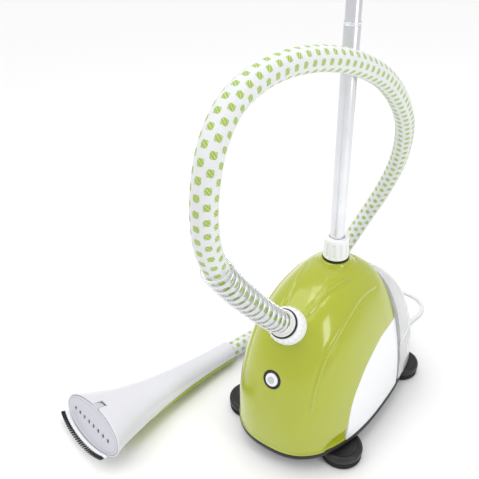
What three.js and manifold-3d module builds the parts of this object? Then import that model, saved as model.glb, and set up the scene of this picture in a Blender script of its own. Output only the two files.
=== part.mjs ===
// Garment steamer: boiler base on four pod feet, rear water tank, telescopic pole with folding hanger,
// woven steam hose and a floor-laid handset with a brush. Millimetres, +Z up, front faces -Y.
import * as THREE from 'three';
import { mergeVertices } from 'three/addons/utils/BufferGeometryUtils.js';
import Module from 'manifold-3d';

const wasm = await Module();
wasm.setup();

// ---------------------------------------------------------------- driving dimensions
const ROW_SHIFT = { x: 58.8, y: 87.7 };   // pole axis from the centre of the object's footprint
const GAP = 0.35;              // clearance between pieces that touch
const ROUND = 20;              // segments of small turned parts

const SHELL = {                // egg-shaped envelope, a superellipse in plan
  halfWidth: 106.6, front: 200, rear: 134, power: 2.6, centreY: 14, lean: -24,
  bottom: 33, top: 267.6, profileM: 1.94, profileK: 2.55, wall: 2.6, sides: 36,
};
const SPLIT_Y = 46;            // rear edge of the shells; the tank starts behind it
const TANK_GAP = 4.6;          // shells to tank front wall
const PANEL_OUTLINE = [        // side panel seen from the side, (y, z)
  [-109, 20], [-108, 60], [-103, 90], [-94, 112], [-83, 126], [-62, 145], [-30, 160], [-3, 166.5],
  [38, 166], [SPLIT_Y + 9, 165], [SPLIT_Y + 9, 20],
];
const FOOT = { x: [87.5, 84], y: [-110, 116], radius: 32.2, padRadius: 31.3, padTop: 10, capTop: 23 };
const BASE = { bottom: 23.3, floorTop: 26.5, top: 32.6, grow: 1.5, wall: 3.4 };

const POLE = {
  lower: { radius: 11, from: 150, to: 610 },
  middle: { radius: 10.1, from: 215, to: 650 },
  upper: { radius: 9.2, from: 255, to: 690 },
  wall: 0.6, ferrule: 5,
};
const COLLAR = { from: 275.3, to: 309, radius: 19.2, topRadius: 18, ribs: 12 };
const SOCKET = { radius: 14, bore: 11.35, seat: 146, top: 298, flange: 22 };
const NECK = { from: 255, to: 271.5, baseRadius: 27, topRadius: 20.6, bore: 14.6 };
const HEAD = { from: 672, to: 726, radius: 16, armZ: 706, armX: 21, armLength: 190 };

const BUTTON = { y: -173, z: 156.5, tilt: 71.5, radius: 10, bezel: 14, travel: 2.5 };
const OUTLET = { y: -147, z: 241, tilt: 45, nutRadius: 27, ringRadius: 21.5, spigot: 14 };
const HOSE = { radius: 14.8, springRadius: 17.2, wire: 1.4, turns: 14 };
const BOILER = { y: -66, radius: 40, from: 42, to: 96 };
const TANK = {
  rear: 150, power: 3.8, top: 252, profileM: 2.42, wall: 2.4, bottom: 38, capRadius: 19.4, y: 98,
  grooveZ: 106, grooveDepth: 5,
};

const HANDSET = { x: -247, y: -312.5, z: 35, yaw: -13, roll: -7, tilt: 27, length: 280, wall: 2.2 };
const FACE = { a: 84, b: 31, holes: 8, pitch: 15.2 };
const LEAD = { radius: 3.5, coil: [-48, 209], coilInner: 35, coilOuter: 49, coilBottom: 1.6, coilTop: 22.8 };
const PLUG = { halfWidth: 12, thickness: 15, length: 36, pinGap: 12.7, pinLength: 17 };

// ---------------------------------------------------------------- finishes
const finish = (color, roughness, metalness = 0, extra = {}) =>
  new THREE.MeshStandardMaterial({ color, roughness, metalness, ...extra });
const GREEN = finish(0xb4c232, 0.22);
const WHITE = finish(0xf2f3f5, 0.3);
const GREY = finish(0xc9cbd1, 0.4);
const BLACK = finish(0x17181a, 0.45);
const RUBBER = finish(0x1b1b1c, 0.85);
const ALUMINIUM = finish(0xc8cacd, 0.3, 1);
const STEEL = finish(0xaeb1b5, 0.3, 1);
const BRASS = finish(0xb08d4a, 0.35, 1);
const WOVEN = finish(0xe9eddc, 0.9);
const CLEAR = finish(0xdfe6ea, 0.1, 0, { transparent: true, opacity: 0.35 });

// ---------------------------------------------------------------- shape helpers
const rad = THREE.MathUtils.degToRad;
const v2 = (x, y) => new THREE.Vector2(x, y);
const v3 = (x, y, z) => new THREE.Vector3(x, y, z);

/** A three.js geometry as a manifold solid, turned right side out. */
function solid(geometry) {
  const bare = geometry.clone();
  bare.deleteAttribute('normal');
  bare.deleteAttribute('uv');
  const merged = mergeVertices(bare, 1e-4);
  const index = Array.from(merged.index.array);
  const triVerts = [];
  for (let i = 0; i < index.length; i += 3) {
    const [a, b, c] = index.slice(i, i + 3);
    if (a !== b && b !== c && c !== a) triVerts.push(a, b, c);
  }
  const build = (list) => new wasm.Manifold(new wasm.Mesh({
    numProp: 3,
    vertProperties: new Float32Array(merged.attributes.position.array),
    triVerts: new Uint32Array(list),
  }));
  const body = build(triVerts);
  if (body.volume() >= 0) return body;
  for (let i = 0; i < triVerts.length; i += 3) {
    [triVerts[i], triVerts[i + 1]] = [triVerts[i + 1], triVerts[i]];
  }
  return build(triVerts);
}

/** A manifold solid back as a three.js geometry. */
function geometryOf(body) {
  const mesh = body.getMesh();
  const geometry = new THREE.BufferGeometry();
  geometry.setAttribute('position', new THREE.BufferAttribute(new Float32Array(mesh.vertProperties), 3));
  geometry.setIndex(new THREE.BufferAttribute(new Uint32Array(mesh.triVerts), 1));
  geometry.computeVertexNormals();
  return geometry;
}

/** Turned solid about +Z from (radius, height) pairs. */
function turned(profile, segments = ROUND) {
  const points = profile.map(([r, h]) => v2(r, h));
  const onAxis = profile[0][0] === 0 && profile[profile.length - 1][0] === 0;
  if (!onAxis) points.push(points[0].clone());
  return solid(new THREE.LatheGeometry(points, segments).rotateX(Math.PI / 2));
}

const ring = (inner, outer, from, to, segments = ROUND) =>
  turned([[inner, from], [outer, from], [outer, to], [inner, to]], segments);
const rod = (radius, from, to, segments = ROUND) =>
  turned([[0, from], [radius, from], [radius, to], [0, to]], segments);

function box(x0, x1, y0, y1, z0, z1) {
  return solid(new THREE.BoxGeometry(x1 - x0, y1 - y0, z1 - z0)
    .translate((x0 + x1) / 2, (y0 + y1) / 2, (z0 + z1) / 2));
}

/** Outline in the (y, z) plane pushed along X from x0 to x1. */
function sidePrism(outline, x0, x1) {
  const shape = new THREE.Shape(outline.map(([y, z]) => v2(y, z)));
  const geometry = new THREE.ExtrudeGeometry(shape, { depth: x1 - x0, bevelEnabled: false });
  const basis = new THREE.Matrix4().makeBasis(v3(0, 1, 0), v3(0, 0, 1), v3(1, 0, 0));
  return solid(geometry.applyMatrix4(basis).translate(x0, 0, 0));
}

/** Shape in the (x, z) plane pushed along Y from y0 to y1. */
function frontPrism(shape, y0, y1, curveSegments = 12) {
  const geometry = new THREE.ExtrudeGeometry(shape, { depth: y1 - y0, bevelEnabled: false, curveSegments });
  const basis = new THREE.Matrix4().makeBasis(v3(1, 0, 0), v3(0, 0, 1), v3(0, -1, 0));
  return solid(geometry.applyMatrix4(basis).translate(0, y1, 0));
}

/** Solid between rings of equal point counts, capped at both ends. */
function loft(rings) {
  const n = rings[0].length;
  const position = [];
  const index = [];
  for (const points of rings) for (const p of points) position.push(p.x, p.y, p.z);
  for (const points of [rings[0], rings[rings.length - 1]]) {
    const mid = points.reduce((sum, p) => sum.add(p), v3(0, 0, 0)).divideScalar(n);
    position.push(mid.x, mid.y, mid.z);
  }
  const base = rings.length * n;
  for (let j = 0; j < n; j++) {
    const k = (j + 1) % n;
    for (let i = 0; i < rings.length - 1; i++) {
      index.push(i * n + j, i * n + k, (i + 1) * n + k, i * n + j, (i + 1) * n + k, (i + 1) * n + j);
    }
    index.push(base, k, j, base + 1, base - n + j, base - n + k);
  }
  const geometry = new THREE.BufferGeometry();
  geometry.setAttribute('position', new THREE.Float32BufferAttribute(position, 3));
  geometry.setIndex(index);
  return solid(geometry);
}

/** Round tube or rod along a curve. */
function tube(curve, radius, steps, sides = 10, bore = 0) {
  const circle = (r) => Array.from({ length: sides }, (_, i) =>
    v2(r * Math.cos((2 * Math.PI * i) / sides), r * Math.sin((2 * Math.PI * i) / sides)));
  const shape = new THREE.Shape(circle(radius));
  if (bore) shape.holes.push(new THREE.Path(circle(bore).reverse()));
  return solid(new THREE.ExtrudeGeometry(shape, { steps, extrudePath: curve, bevelEnabled: false }));
}

const through = (points) =>
  new THREE.CatmullRomCurve3(points.map((p) => v3(...p)), false, 'centripetal');

const root = new THREE.Group();
root.name = 'garment_steamer';
root.position.set(ROW_SHIFT.x, ROW_SHIFT.y, 0);

function frameAt(parent, x, y, z, rx = 0, ry = 0, rz = 0) {
  const group = new THREE.Group();
  group.position.set(x, y, z);
  group.rotation.set(rad(rx), rad(ry), rad(rz), 'ZYX');
  parent.add(group);
  return group;
}

function piece(parent, name, body, material) {
  const mesh = new THREE.Mesh(geometryOf(body), material);
  mesh.name = name;
  parent.add(mesh);
  return mesh;
}

// ---------------------------------------------------------------- egg-shaped envelope
function envelopeRing(z, grow, form = SHELL, dent = 0) {
  const top = form.top + grow;
  const t = Math.max(0, (z - SHELL.bottom) / (top - SHELL.bottom));
  const s = (1 - Math.min(t, 1) ** form.profileM) ** (1 / SHELL.profileK);
  const yMid = SHELL.centreY + SHELL.lean * t;
  return Array.from({ length: SHELL.sides }, (_, i) => {
    const angle = (2 * Math.PI * (i + 0.5)) / SHELL.sides;
    const c = Math.cos(angle);
    const k = Math.sin(angle);
    const b = k < 0 ? SHELL.front : form.rear;
    const power = 2 / form.power;
    const rear = Math.max(0, k) ** 0.5 * dent;
    return v3(
      ((SHELL.halfWidth + grow) * s - rear) * Math.sign(c) * Math.abs(c) ** power,
      yMid + ((b + grow) * s - rear) * Math.sign(k) * Math.abs(k) ** power, z);
  });
}

/** The envelope grown or shrunk, from a given height, with an optional grip groove round the rear. */
function envelope(grow, from, form = SHELL, groove = 0) {
  const steps = [0.14, 0.28, 0.42, 0.55, 0.67, 0.77, 0.85, 0.915, 0.96, 0.988];
  const top = form.top + grow;
  let heights = steps.map((t) => SHELL.bottom + t * (top - SHELL.bottom));
  const dents = new Map();
  if (groove) {
    const bands = [[-13, 0], [-6, 0.8], [0, 1], [6, 0.8], [13, 0]];
    heights = heights.filter((z) => Math.abs(z - TANK.grooveZ) > 15);
    for (const [dz, share] of bands) {
      heights.push(TANK.grooveZ + dz);
      dents.set(TANK.grooveZ + dz, share * groove);
    }
    heights.sort((a, b) => a - b);
  }
  heights = [from, ...heights.filter((z) => z > from + 2)];
  return loft(heights.map((z) => envelopeRing(z, grow, form, dents.get(z) ?? 0)));
}

// ---------------------------------------------------------------- base and feet
function buildBase() {
  const base = frameAt(root, 0, 0, 0);
  const plan = envelopeRing(SHELL.bottom, BASE.grow).map((p) => v2(p.x, p.y));
  const tray = (scale, from, to) => solid(new THREE.ExtrudeGeometry(
    new THREE.Shape(plan.map((p) => v2(p.x * scale, (p.y - SHELL.centreY) * scale + SHELL.centreY))),
    { depth: to - from, bevelEnabled: false }).translate(0, 0, from));
  const well = tray(1 - BASE.wall / SHELL.halfWidth, BASE.floorTop, BASE.top + 1);
  piece(base, 'base_plate', tray(1, BASE.bottom, BASE.top).subtract(well), BLACK);

  const corners = [['front', 0], ['rear', 1]];
  for (const [endName, end] of corners) {
    for (const [sideName, side] of [['right', 1], ['left', -1]]) {
      const pod = frameAt(base, side * FOOT.x[end], FOOT.y[end], 0);
      const cap = turned([[0, FOOT.padTop + GAP], [FOOT.radius, FOOT.padTop + GAP],
        [FOOT.radius, FOOT.capTop - 3.5], [FOOT.radius - 3.5, FOOT.capTop], [0, FOOT.capTop]], 24);
      piece(pod, `foot_cap_${endName}_${sideName}`, cap, BLACK);
      const pad = turned([[0, 0], [FOOT.padRadius - 1.5, 0], [FOOT.padRadius, 1.5],
        [FOOT.padRadius, FOOT.padTop], [0, FOOT.padTop]], 24);
      piece(pod, `foot_pad_${endName}_${sideName}`, pad, RUBBER);
    }
  }
}

// ---------------------------------------------------------------- shells
function buildShells() {
  const shells = frameAt(root, 0, 0, 0);
  const outer = envelope(0, SHELL.bottom);
  const inner = envelope(-SHELL.wall, SHELL.bottom - 4);
  const ahead = box(-200, 200, -300, SPLIT_Y, 0, 400);
  const skin = outer.subtract(inner).intersect(ahead);

  const neck = turned([[0, NECK.from], [NECK.baseRadius, NECK.from],
    [NECK.topRadius + 2, NECK.to - 4], [NECK.topRadius, NECK.to], [0, NECK.to]], 32);
  const neckBore = rod(NECK.bore, NECK.from - 12, NECK.to + 2, 32);

  const buttonHole = rod(BUTTON.bezel + GAP, -20, 20).rotate([BUTTON.tilt, 0, 0])
    .translate([0, BUTTON.y, BUTTON.z]);
  const spigotHole = rod(OUTLET.spigot + 0.5, -60, 20).rotate([OUTLET.tilt, 0, 0])
    .translate([0, OUTLET.y, OUTLET.z]);

  const panelCut = sidePrism(PANEL_OUTLINE.map(([y, z]) => [y - GAP, z + GAP]), -200, 200);
  piece(shells, 'front_shell', skin.subtract(panelCut).add(neck.subtract(inner)).subtract(neckBore)
    .subtract(buttonHole).subtract(spigotHole), GREEN);
  for (const [sideName, x0, x1] of [['right', 20, 200], ['left', -200, -20]]) {
    piece(shells, `side_panel_${sideName}`, skin.intersect(sidePrism(PANEL_OUTLINE, x0, x1)), WHITE);
  }
  const wallSpace = envelope(-SHELL.wall - GAP, SHELL.bottom - 4);
  const divider = box(-200, 200, SPLIT_Y - 3.2, SPLIT_Y - 0.6, 37, 400);
  piece(shells, 'rear_wall', wallSpace.intersect(divider), WHITE);
}

// ---------------------------------------------------------------- pole
function buildPole() {
  const pole = frameAt(root, 0, 0, 0);
  const column = turned([[0, BASE.floorTop + GAP], [SOCKET.flange, BASE.floorTop + GAP], [SOCKET.flange, 31],
    [SOCKET.radius, 31], [SOCKET.radius, SOCKET.top], [SOCKET.bore, SOCKET.top],
    [SOCKET.bore, SOCKET.seat], [0, SOCKET.seat]]);
  piece(pole, 'pole_socket', column, BLACK);
  piece(pole, 'neck_gasket', ring(SOCKET.radius + GAP, 19.8, NECK.to + GAP, COLLAR.from - GAP), RUBBER);

  const tubeBore = POLE.lower.radius + 0.4;
  const socketBore = SOCKET.radius + 0.4;
  let collar = turned([[socketBore, COLLAR.from], [COLLAR.radius, COLLAR.from],
    [COLLAR.topRadius, COLLAR.to - 2], [COLLAR.topRadius - 2, COLLAR.to], [tubeBore, COLLAR.to],
    [tubeBore, SOCKET.top + 1.2], [socketBore, SOCKET.top + 1.2]], 36);
  for (let i = 0; i < COLLAR.ribs; i++) {
    const flute = rod(1.6, COLLAR.from + 4, COLLAR.to - 5, 6)
      .translate([COLLAR.radius + 0.5, 0, 0]).rotate([0, 0, (360 * (i + 0.5)) / COLLAR.ribs]);
    collar = collar.subtract(flute);
  }
  piece(pole, 'pole_collar', collar, WHITE);

  const stages = [['lower', POLE.lower], ['middle', POLE.middle], ['upper', POLE.upper]];
  for (const [name, stage] of stages) {
    piece(pole, `pole_${name}_tube`,
      ring(stage.radius - POLE.wall, stage.radius, stage.from, stage.to), ALUMINIUM);
    if (name === 'upper') continue;
    piece(pole, `pole_ferrule_${name}`, ring(stage.radius - POLE.wall, stage.radius + 0.15,
      stage.to + 0.2, stage.to + POLE.ferrule), ALUMINIUM);
  }

  const tubeR = POLE.upper.radius + GAP;
  const cap = turned([[0, HEAD.from], [HEAD.radius - 2, HEAD.from], [HEAD.radius, HEAD.from + 16],
    [HEAD.radius, HEAD.to - 8], [HEAD.radius - 6, HEAD.to], [0, HEAD.to]]);
  const cheeks = box(-30, 30, -8, 8, HEAD.armZ - 9, HEAD.armZ + 9);
  const armSlot = (side) => box(Math.min(11.4 * side, 40 * side), Math.max(11.4 * side, 40 * side),
    -4.4, 4.4, 600, 800);
  piece(pole, 'pole_head', cap.add(cheeks).subtract(armSlot(1)).subtract(armSlot(-1))
    .subtract(rod(tubeR, 600, POLE.upper.to + GAP)), WHITE);

  for (const [name, side] of [['right', 1], ['left', -1]]) {
    const bar = new THREE.Shape([[-7, -5], [40, -6], [120, -12], [180, -24], [188, -18], [189, -8],
      [180, -12], [120, -1], [40, 6], [-4, 6], [-7, 2]].map(([x, z]) => v2(x, z)));
    const arm = frameAt(pole, side * HEAD.armX, 0, HEAD.armZ, 0, 0, side > 0 ? 0 : 180);
    piece(arm, `hanger_arm_${name}`, frontPrism(bar, -4, 4), WHITE);
  }
  const cradle = new THREE.Shape([[-26, 0], [-26, 26], [-20, 26], [-20, 6], [20, 6], [20, 26],
    [26, 26], [26, 0]].map(([x, y]) => v2(x, y)));
  const hook = solid(new THREE.ExtrudeGeometry(cradle, { depth: 9, bevelEnabled: false })
    .rotateX(Math.PI).translate(0, -HEAD.radius - 0.5, 692));
  piece(pole, 'handset_hook', hook, WHITE);
}

// ---------------------------------------------------------------- push button and switch
function buildButton() {
  const face = frameAt(root, 0, BUTTON.y, BUTTON.z, BUTTON.tilt);
  piece(face, 'button_bezel', turned([[BUTTON.radius + 0.4, -6], [BUTTON.bezel, -6], [BUTTON.bezel, 0.6],
    [BUTTON.bezel - 1, 1.4], [BUTTON.radius + 0.4, 1.4]]), BLACK);
  piece(face, 'power_button', turned([[0, -8], [3, -8], [3, -3], [BUTTON.radius, -3], [BUTTON.radius, 1.6],
    [BUTTON.radius - 2.5, 2.9], [BUTTON.radius - 6, 3.4], [0, 3.5]]), WHITE);
  piece(face, 'switch_body', box(-11, 11, -8, 8, -26, -11), BLACK);
}

// ---------------------------------------------------------------- steam outlet, nut, spring and hose
const OUT_DIR = v3(0, -Math.sin(rad(OUTLET.tilt)), Math.cos(rad(OUTLET.tilt)));
const HOSE_ROUTE = [
  [0, -151, 245], [0, -182, 277], [-3, -217, 319], [-4, -250, 360], [-3, -279, 401], [1, -298, 443],
  [5, -305, 487], [6, -300, 523], [4, -284, 554], [2, -253, 581], [4, -213, 596], [9, -167, 601],
  [16, -117, 597], [23, -68, 586], [27.5, -18, 568], [30, 43, 538], [28, 110, 489], [18, 172, 429],
  [-7, 226, 346], [-37, 247, 272], [-62, 246, 217], [-82, 231, 168], [-99, 205, 122], [-114, 172, 84],
  [-131, 132, 54], [-144, 95, 35], [-157, 58, 22.5], [-168, 18, 18.8], [-175.4, -11, 19.3],
  [-182.1, -40.2, 19.5], [-184.8, -52, 19.5],
];

function buildHose() {
  const out = frameAt(root, 0, OUTLET.y, OUTLET.z, OUTLET.tilt);
  const toOutlet = (body) => body.translate([0, -OUTLET.y, -OUTLET.z]).rotate([-OUTLET.tilt, 0, 0]);
  const dome = toOutlet(envelope(GAP, SHELL.bottom));
  const bore = OUTLET.spigot + 0.4;
  piece(out, 'outlet_spigot', ring(10, OUTLET.spigot, -34, 0.5), BLACK);
  piece(out, 'outlet_flange',
    ring(bore, OUTLET.nutRadius, -30, -17, 36).subtract(dome), WHITE);
  let nut = turned([[bore, -17 + GAP], [OUTLET.nutRadius, -17 + GAP], [OUTLET.nutRadius - 0.5, -8],
    [OUTLET.ringRadius + 0.6, -1.6], [bore, -1.6]], 36);
  for (let i = 0; i < 12; i++) {
    nut = nut.subtract(rod(1.5, -15, -4, 6).translate([OUTLET.nutRadius + 0.5, 0, 0]).rotate([0, 0, 30 * i]));
  }
  piece(out, 'hose_nut', nut, WHITE);
  piece(out, 'nut_ring', ring(bore, OUTLET.ringRadius, -1.6 + GAP, 1), BLACK);
  const cuffBore = HOSE.radius + 0.5;
  piece(out, 'hose_cuff', turned([[cuffBore, 1 + GAP], [20, 1 + GAP], [18.8, 14], [cuffBore, 14]]), GREY);

  const route = through(HOSE_ROUTE);
  piece(root, 'steam_hose', tube(route, HOSE.radius, 48, 10), WOVEN);

  const length = route.getLength();
  const [start, end] = [14 / length, 214 / length];
  const frames = 40;
  const basis = [];
  let side = v3(1, 0, 0);
  for (let i = 0; i <= frames; i++) {
    const u = start + ((end - start) * i) / frames;
    const tangent = route.getTangentAt(u);
    side = side.clone().addScaledVector(tangent, -side.dot(tangent)).normalize();
    basis.push({ at: route.getPointAt(u), side, lift: tangent.clone().cross(side) });
  }
  const perTurn = 11;
  const wire = [];
  for (let i = 0; i <= HOSE.turns * perTurn; i++) {
    const along = (i / (HOSE.turns * perTurn)) * frames;
    const k = Math.min(frames - 1, Math.floor(along));
    const mix = along - k;
    const at = basis[k].at.clone().lerp(basis[k + 1].at, mix);
    const angle = (2 * Math.PI * i) / perTurn;
    const s = basis[k].side.clone().lerp(basis[k + 1].side, mix);
    const l = basis[k].lift.clone().lerp(basis[k + 1].lift, mix);
    wire.push(at.addScaledVector(s, HOSE.springRadius * Math.cos(angle))
      .addScaledVector(l, HOSE.springRadius * Math.sin(angle)));
  }
  const rings = wire.map((p, i) => {
    const ahead = wire[Math.min(i + 1, wire.length - 1)];
    const behind = wire[Math.max(i - 1, 0)];
    const tangent = ahead.clone().sub(behind).normalize();
    const centre = basis[Math.min(frames, Math.round((i / (HOSE.turns * perTurn)) * frames))].at;
    const outward = p.clone().sub(centre);
    outward.addScaledVector(tangent, -outward.dot(tangent)).normalize();
    const across = tangent.clone().cross(outward);
    return Array.from({ length: 4 }, (_, j) => p.clone()
      .addScaledVector(outward, HOSE.wire * Math.cos(rad(90 * j)))
      .addScaledVector(across, HOSE.wire * Math.sin(rad(90 * j))));
  });
  piece(root, 'hose_spring', loft(rings), STEEL);
}

// ---------------------------------------------------------------- boiler and water path
function buildSteamWorks() {
  const works = frameAt(root, 0, BOILER.y, 0);
  const r = BOILER.radius;
  piece(works, 'boiler_body', turned([[0, BOILER.from], [r, BOILER.from], [r, BOILER.to], [r - 6, BOILER.to],
    [r - 6, BOILER.from + 8], [0, BOILER.from + 8]]), ALUMINIUM);
  piece(works, 'boiler_lid', turned([[8, BOILER.to + GAP], [r, BOILER.to + GAP], [r, BOILER.to + 5],
    [13, BOILER.to + 5], [13, BOILER.to + 15], [8, BOILER.to + 15]]), ALUMINIUM);
  const element = new THREE.TorusGeometry(28, 3.4, 6, 20).translate(0, 0, 37.5);
  piece(works, 'heating_element', solid(element), STEEL);
  piece(works, 'thermostat', rod(8, r + 0.5, r + 7, 16).rotate([0, 90, 0]).translate([0, 0, 70]), BLACK);
  piece(works, 'thermal_fuse', rod(4, 60, 80, 12).translate([-r - 5, 0, 0]), BRASS);

  const inner = OUT_DIR.clone().multiplyScalar(-35.5).add(v3(0, OUTLET.y, OUTLET.z));
  const pipe = new THREE.CubicBezierCurve3(v3(0, BOILER.y, BOILER.to + 2), v3(0, BOILER.y, 165),
    inner.clone().addScaledVector(OUT_DIR, -48), inner);
  piece(root, 'steam_pipe', tube(pipe, 6.8, 10, 8, 4.6), RUBBER);

  const feed = through([[24.6, TANK.y, 30.5], [32, TANK.y - 3, 30.5], [38, TANK.y - 14, 30.5], [38, 40, 30.5],
    [38, -6, 31], [38, -20, 40], [34.5, -28, 53], [28.3, -35, 60]]);
  piece(root, 'water_feed_pipe', tube(feed, 3, 18, 6), CLEAR);
  const seatFloor = BASE.floorTop + 0.3;
  piece(frameAt(root, 0, TANK.y, 0), 'tank_seat', turned([[0, seatFloor], [21.3, seatFloor],
    [21.3, 28.4], [2, 28.4], [2, 30.4], [0, 30.4]]), BLACK);
  piece(root, 'terminal_block', box(50, 80, 0, 20, 33, 45), WHITE);
}

// ---------------------------------------------------------------- water tank
function buildTank() {
  const tank = frameAt(root, 0, 0, 0);
  const frontY = SPLIT_Y + TANK_GAP;
  const outer = envelope(0, TANK.bottom, TANK, TANK.grooveDepth)
    .intersect(box(-200, 200, frontY, 300, 0, 400));
  const inner = envelope(-TANK.wall, TANK.bottom + TANK.wall, TANK, TANK.grooveDepth)
    .intersect(box(-200, 200, frontY + TANK.wall, 300, 0, 400));
  const neck = rod(15.2, 34.6, TANK.bottom + 1).translate([0, TANK.y, 0]);
  const mouth = rod(12.5, 20, TANK.bottom + TANK.wall + 1).translate([0, TANK.y, 0]);
  piece(tank, 'tank_body', outer.subtract(inner).add(neck).subtract(mouth), CLEAR);

  const plug = frameAt(tank, 0, TANK.y, 0);
  piece(plug, 'tank_cap', turned([[4.2, 29], [TANK.capRadius, 29], [TANK.capRadius, 36.2],
    [TANK.capRadius - 3.8, 36.2], [TANK.capRadius - 3.8, 31.4], [4.2, 31.4]]), WHITE);
  piece(plug, 'tank_seal', ring(15.6, 18.6, 36.4, 37.7), RUBBER);
  piece(plug, 'tank_valve', turned([[0, 30.8], [3.8, 30.8], [3.8, 31.7], [8, 31.7], [8, 33.2],
    [7.2, 33.8], [0, 33.8]]), BLACK);
}

// ---------------------------------------------------------------- handset and brush
function handsetRing([y, z, a, b, tilt], grow) {
  return Array.from({ length: 26 }, (_, i) => {
    const angle = (2 * Math.PI * (i + 0.5)) / 26;
    const h = (b + grow) * Math.sin(angle);
    return v3((a + grow) * Math.cos(angle), y + h * Math.sin(rad(tilt)), z + h * Math.cos(rad(tilt)));
  });
}

const HANDSET_STATIONS = [ // y back from the face, z, half width, half height, tilt
  [0, 0, FACE.a, FACE.b, HANDSET.tilt], [24, -2.5, 69, 27.5, 21], [54, -5.5, 53, 24.6, 14],
  [95, -9, 39, 22.4, 8],
  [145, -12, 29, 20.8, 4], [205, -14.5, 22.5, 19.4, 0], [HANDSET.length, -15.6, 18.8, 18.8, 0],
];

function edgeBand(a0, b0, a1, b1, from, to, steps = 16) {
  const at = (a, b, i) => {
    const angle = rad(from + ((to - from) * i) / steps);
    return v2(a * Math.cos(angle), b * Math.sin(angle));
  };
  const outer = Array.from({ length: steps + 1 }, (_, i) => at(a1, b1, i));
  const inner = Array.from({ length: steps + 1 }, (_, i) => at(a0, b0, steps - i));
  return new THREE.Shape([...outer, ...inner]);
}

function buildHandset() {
  const handset = frameAt(root, HANDSET.x, HANDSET.y, HANDSET.z, 0, HANDSET.roll, HANDSET.yaw);
  const face = frameAt(handset, 0, 0, 0, -HANDSET.tilt);
  const [first, ...rest] = HANDSET_STATIONS;
  const last = rest[rest.length - 1];
  const over = [[-6, 2, first[2] + 2, first[3], first[4]], ...HANDSET_STATIONS,
    [last[0] + 6, ...last.slice(1)]];
  const shell = loft(HANDSET_STATIONS.map((s) => handsetRing(s, 0)))
    .subtract(loft(over.map((s) => handsetRing(s, -HANDSET.wall))));
  const lowerOutline = [[10, -70], [21, -26], [60, -17], [300, -21], [300, -70]];
  const upperCut = lowerOutline.map(([y, z]) => [y < 30 ? y - GAP : y, z < -60 ? z : z + GAP]);
  const notch = box(-8.6, 8.6, -3, 14.8, 26.2, 40).rotate([-HANDSET.tilt, 0, 0]);
  piece(handset, 'handset_upper_shell', shell.subtract(sidePrism(upperCut, -90, 90)).subtract(notch), WHITE);
  piece(handset, 'handset_lower_shell', shell.intersect(sidePrism(lowerOutline, -90, 90)), GREEN);

  const oval = new THREE.Shape();
  oval.absellipse(0, 0, FACE.a - HANDSET.wall - 3, FACE.b - HANDSET.wall - 3, 0, 2 * Math.PI);
  let plate = frontPrism(oval, -1.5, 2.5, 14);
  for (let i = 0; i < FACE.holes; i++) {
    const x = (i - (FACE.holes - 1) / 2) * FACE.pitch;
    plate = plate.subtract(rod(2, -6, 6, 6).rotate([90, 0, 0]).translate([x, 0, 0]));
  }
  plate = plate.add(box(-8, 8, -1.5, 2.5, 24, 31.6)).add(box(-8, 8, 0, 14, 28.4, 31.6));
  piece(face, 'steam_plate', plate, GREY);

  const brush = frameAt(face, 0, 0, 0);
  const frameBand = edgeBand(FACE.a - 4, FACE.b - 4, FACE.a + 2, FACE.b + 2.5, 208, 318);
  const bristleBand = edgeBand(FACE.a - 2.4, FACE.b - 2.2, FACE.a + 0.2, FACE.b + 0.6, 210, 316);
  piece(brush, 'brush_frame', frontPrism(frameBand, -8, -1.9), WHITE);
  piece(brush, 'brush_bristles', frontPrism(bristleBand, -20, -8 - GAP), BLACK);
}

// ---------------------------------------------------------------- mains lead, coil and plug
const LEAD_ROUTE = [
  [45, 149, 29], [45, 165, 29], [45, 181, 28.8], [45.5, 200, 23], [47, 220, 11.5], [49.5, 241, 4.8],
  [53, 262, 3.6], [56, 286, 3.6], [51, 310, 3.6], [36, 327, 3.6], [11, 334.5, 3.6], [-20, 331, 3.6],
  [-50, 317, 3.6], [-76, 294, 3.6], [-94, 266, 3.6], [-101.5, 238, 3.6], [-102, 212, 3.6],
];

function buildLead() {
  const relief = frameAt(root, 45, 0, 29, -90);
  piece(relief, 'lead_strain_relief', turned([[LEAD.radius + 0.4, 145.6], [5.6, 145.6], [5.6, 150],
    [4.5, 178], [LEAD.radius + 0.4, 178]], 16), BLACK);
  piece(root, 'mains_lead', tube(through(LEAD_ROUTE), LEAD.radius, 34, 8), WHITE);
  const [cx, cy] = LEAD.coil;
  const coil = frameAt(root, cx, cy, 0);
  piece(coil, 'mains_coil', ring(LEAD.coilInner, LEAD.coilOuter, LEAD.coilBottom, LEAD.coilTop, 32), WHITE);
  const tieTop = LEAD.coilTop + 2;
  piece(coil, 'coil_tie', box(LEAD.coilInner - 2, LEAD.coilOuter + 2, -3, 3, 0, tieTop)
    .subtract(box(LEAD.coilInner - 0.6, LEAD.coilOuter + 0.6, -10, 10, 1.2, LEAD.coilTop + 0.5)), BLACK);

  const plug = frameAt(coil, -40, -18, LEAD.coilTop + PLUG.thickness / 2 + 0.4);
  const half = PLUG.thickness / 2;
  const outline = new THREE.Shape([[-PLUG.halfWidth, 0], [PLUG.halfWidth, 0], [PLUG.halfWidth, 24],
    [5, PLUG.length], [-5, PLUG.length], [-PLUG.halfWidth, 24]].map(([x, y]) => v2(x, y)));
  const body = new THREE.ExtrudeGeometry(outline, { depth: PLUG.thickness, bevelEnabled: false });
  piece(plug, 'plug_body', solid(body.translate(0, 0, -half)), WHITE);
  for (const [name, side] of [['a', -1], ['b', 1]]) {
    const x = (side * PLUG.pinGap) / 2;
    piece(plug, `plug_pin_${name}`, box(x - 0.8, x + 0.8, -PLUG.pinLength, -0.3, -3.2, 3.2), STEEL);
  }
}

buildBase();
buildShells();
buildPole();
buildButton();
buildHose();
buildSteamWorks();
buildTank();
buildHandset();
buildLead();

export default root;
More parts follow.
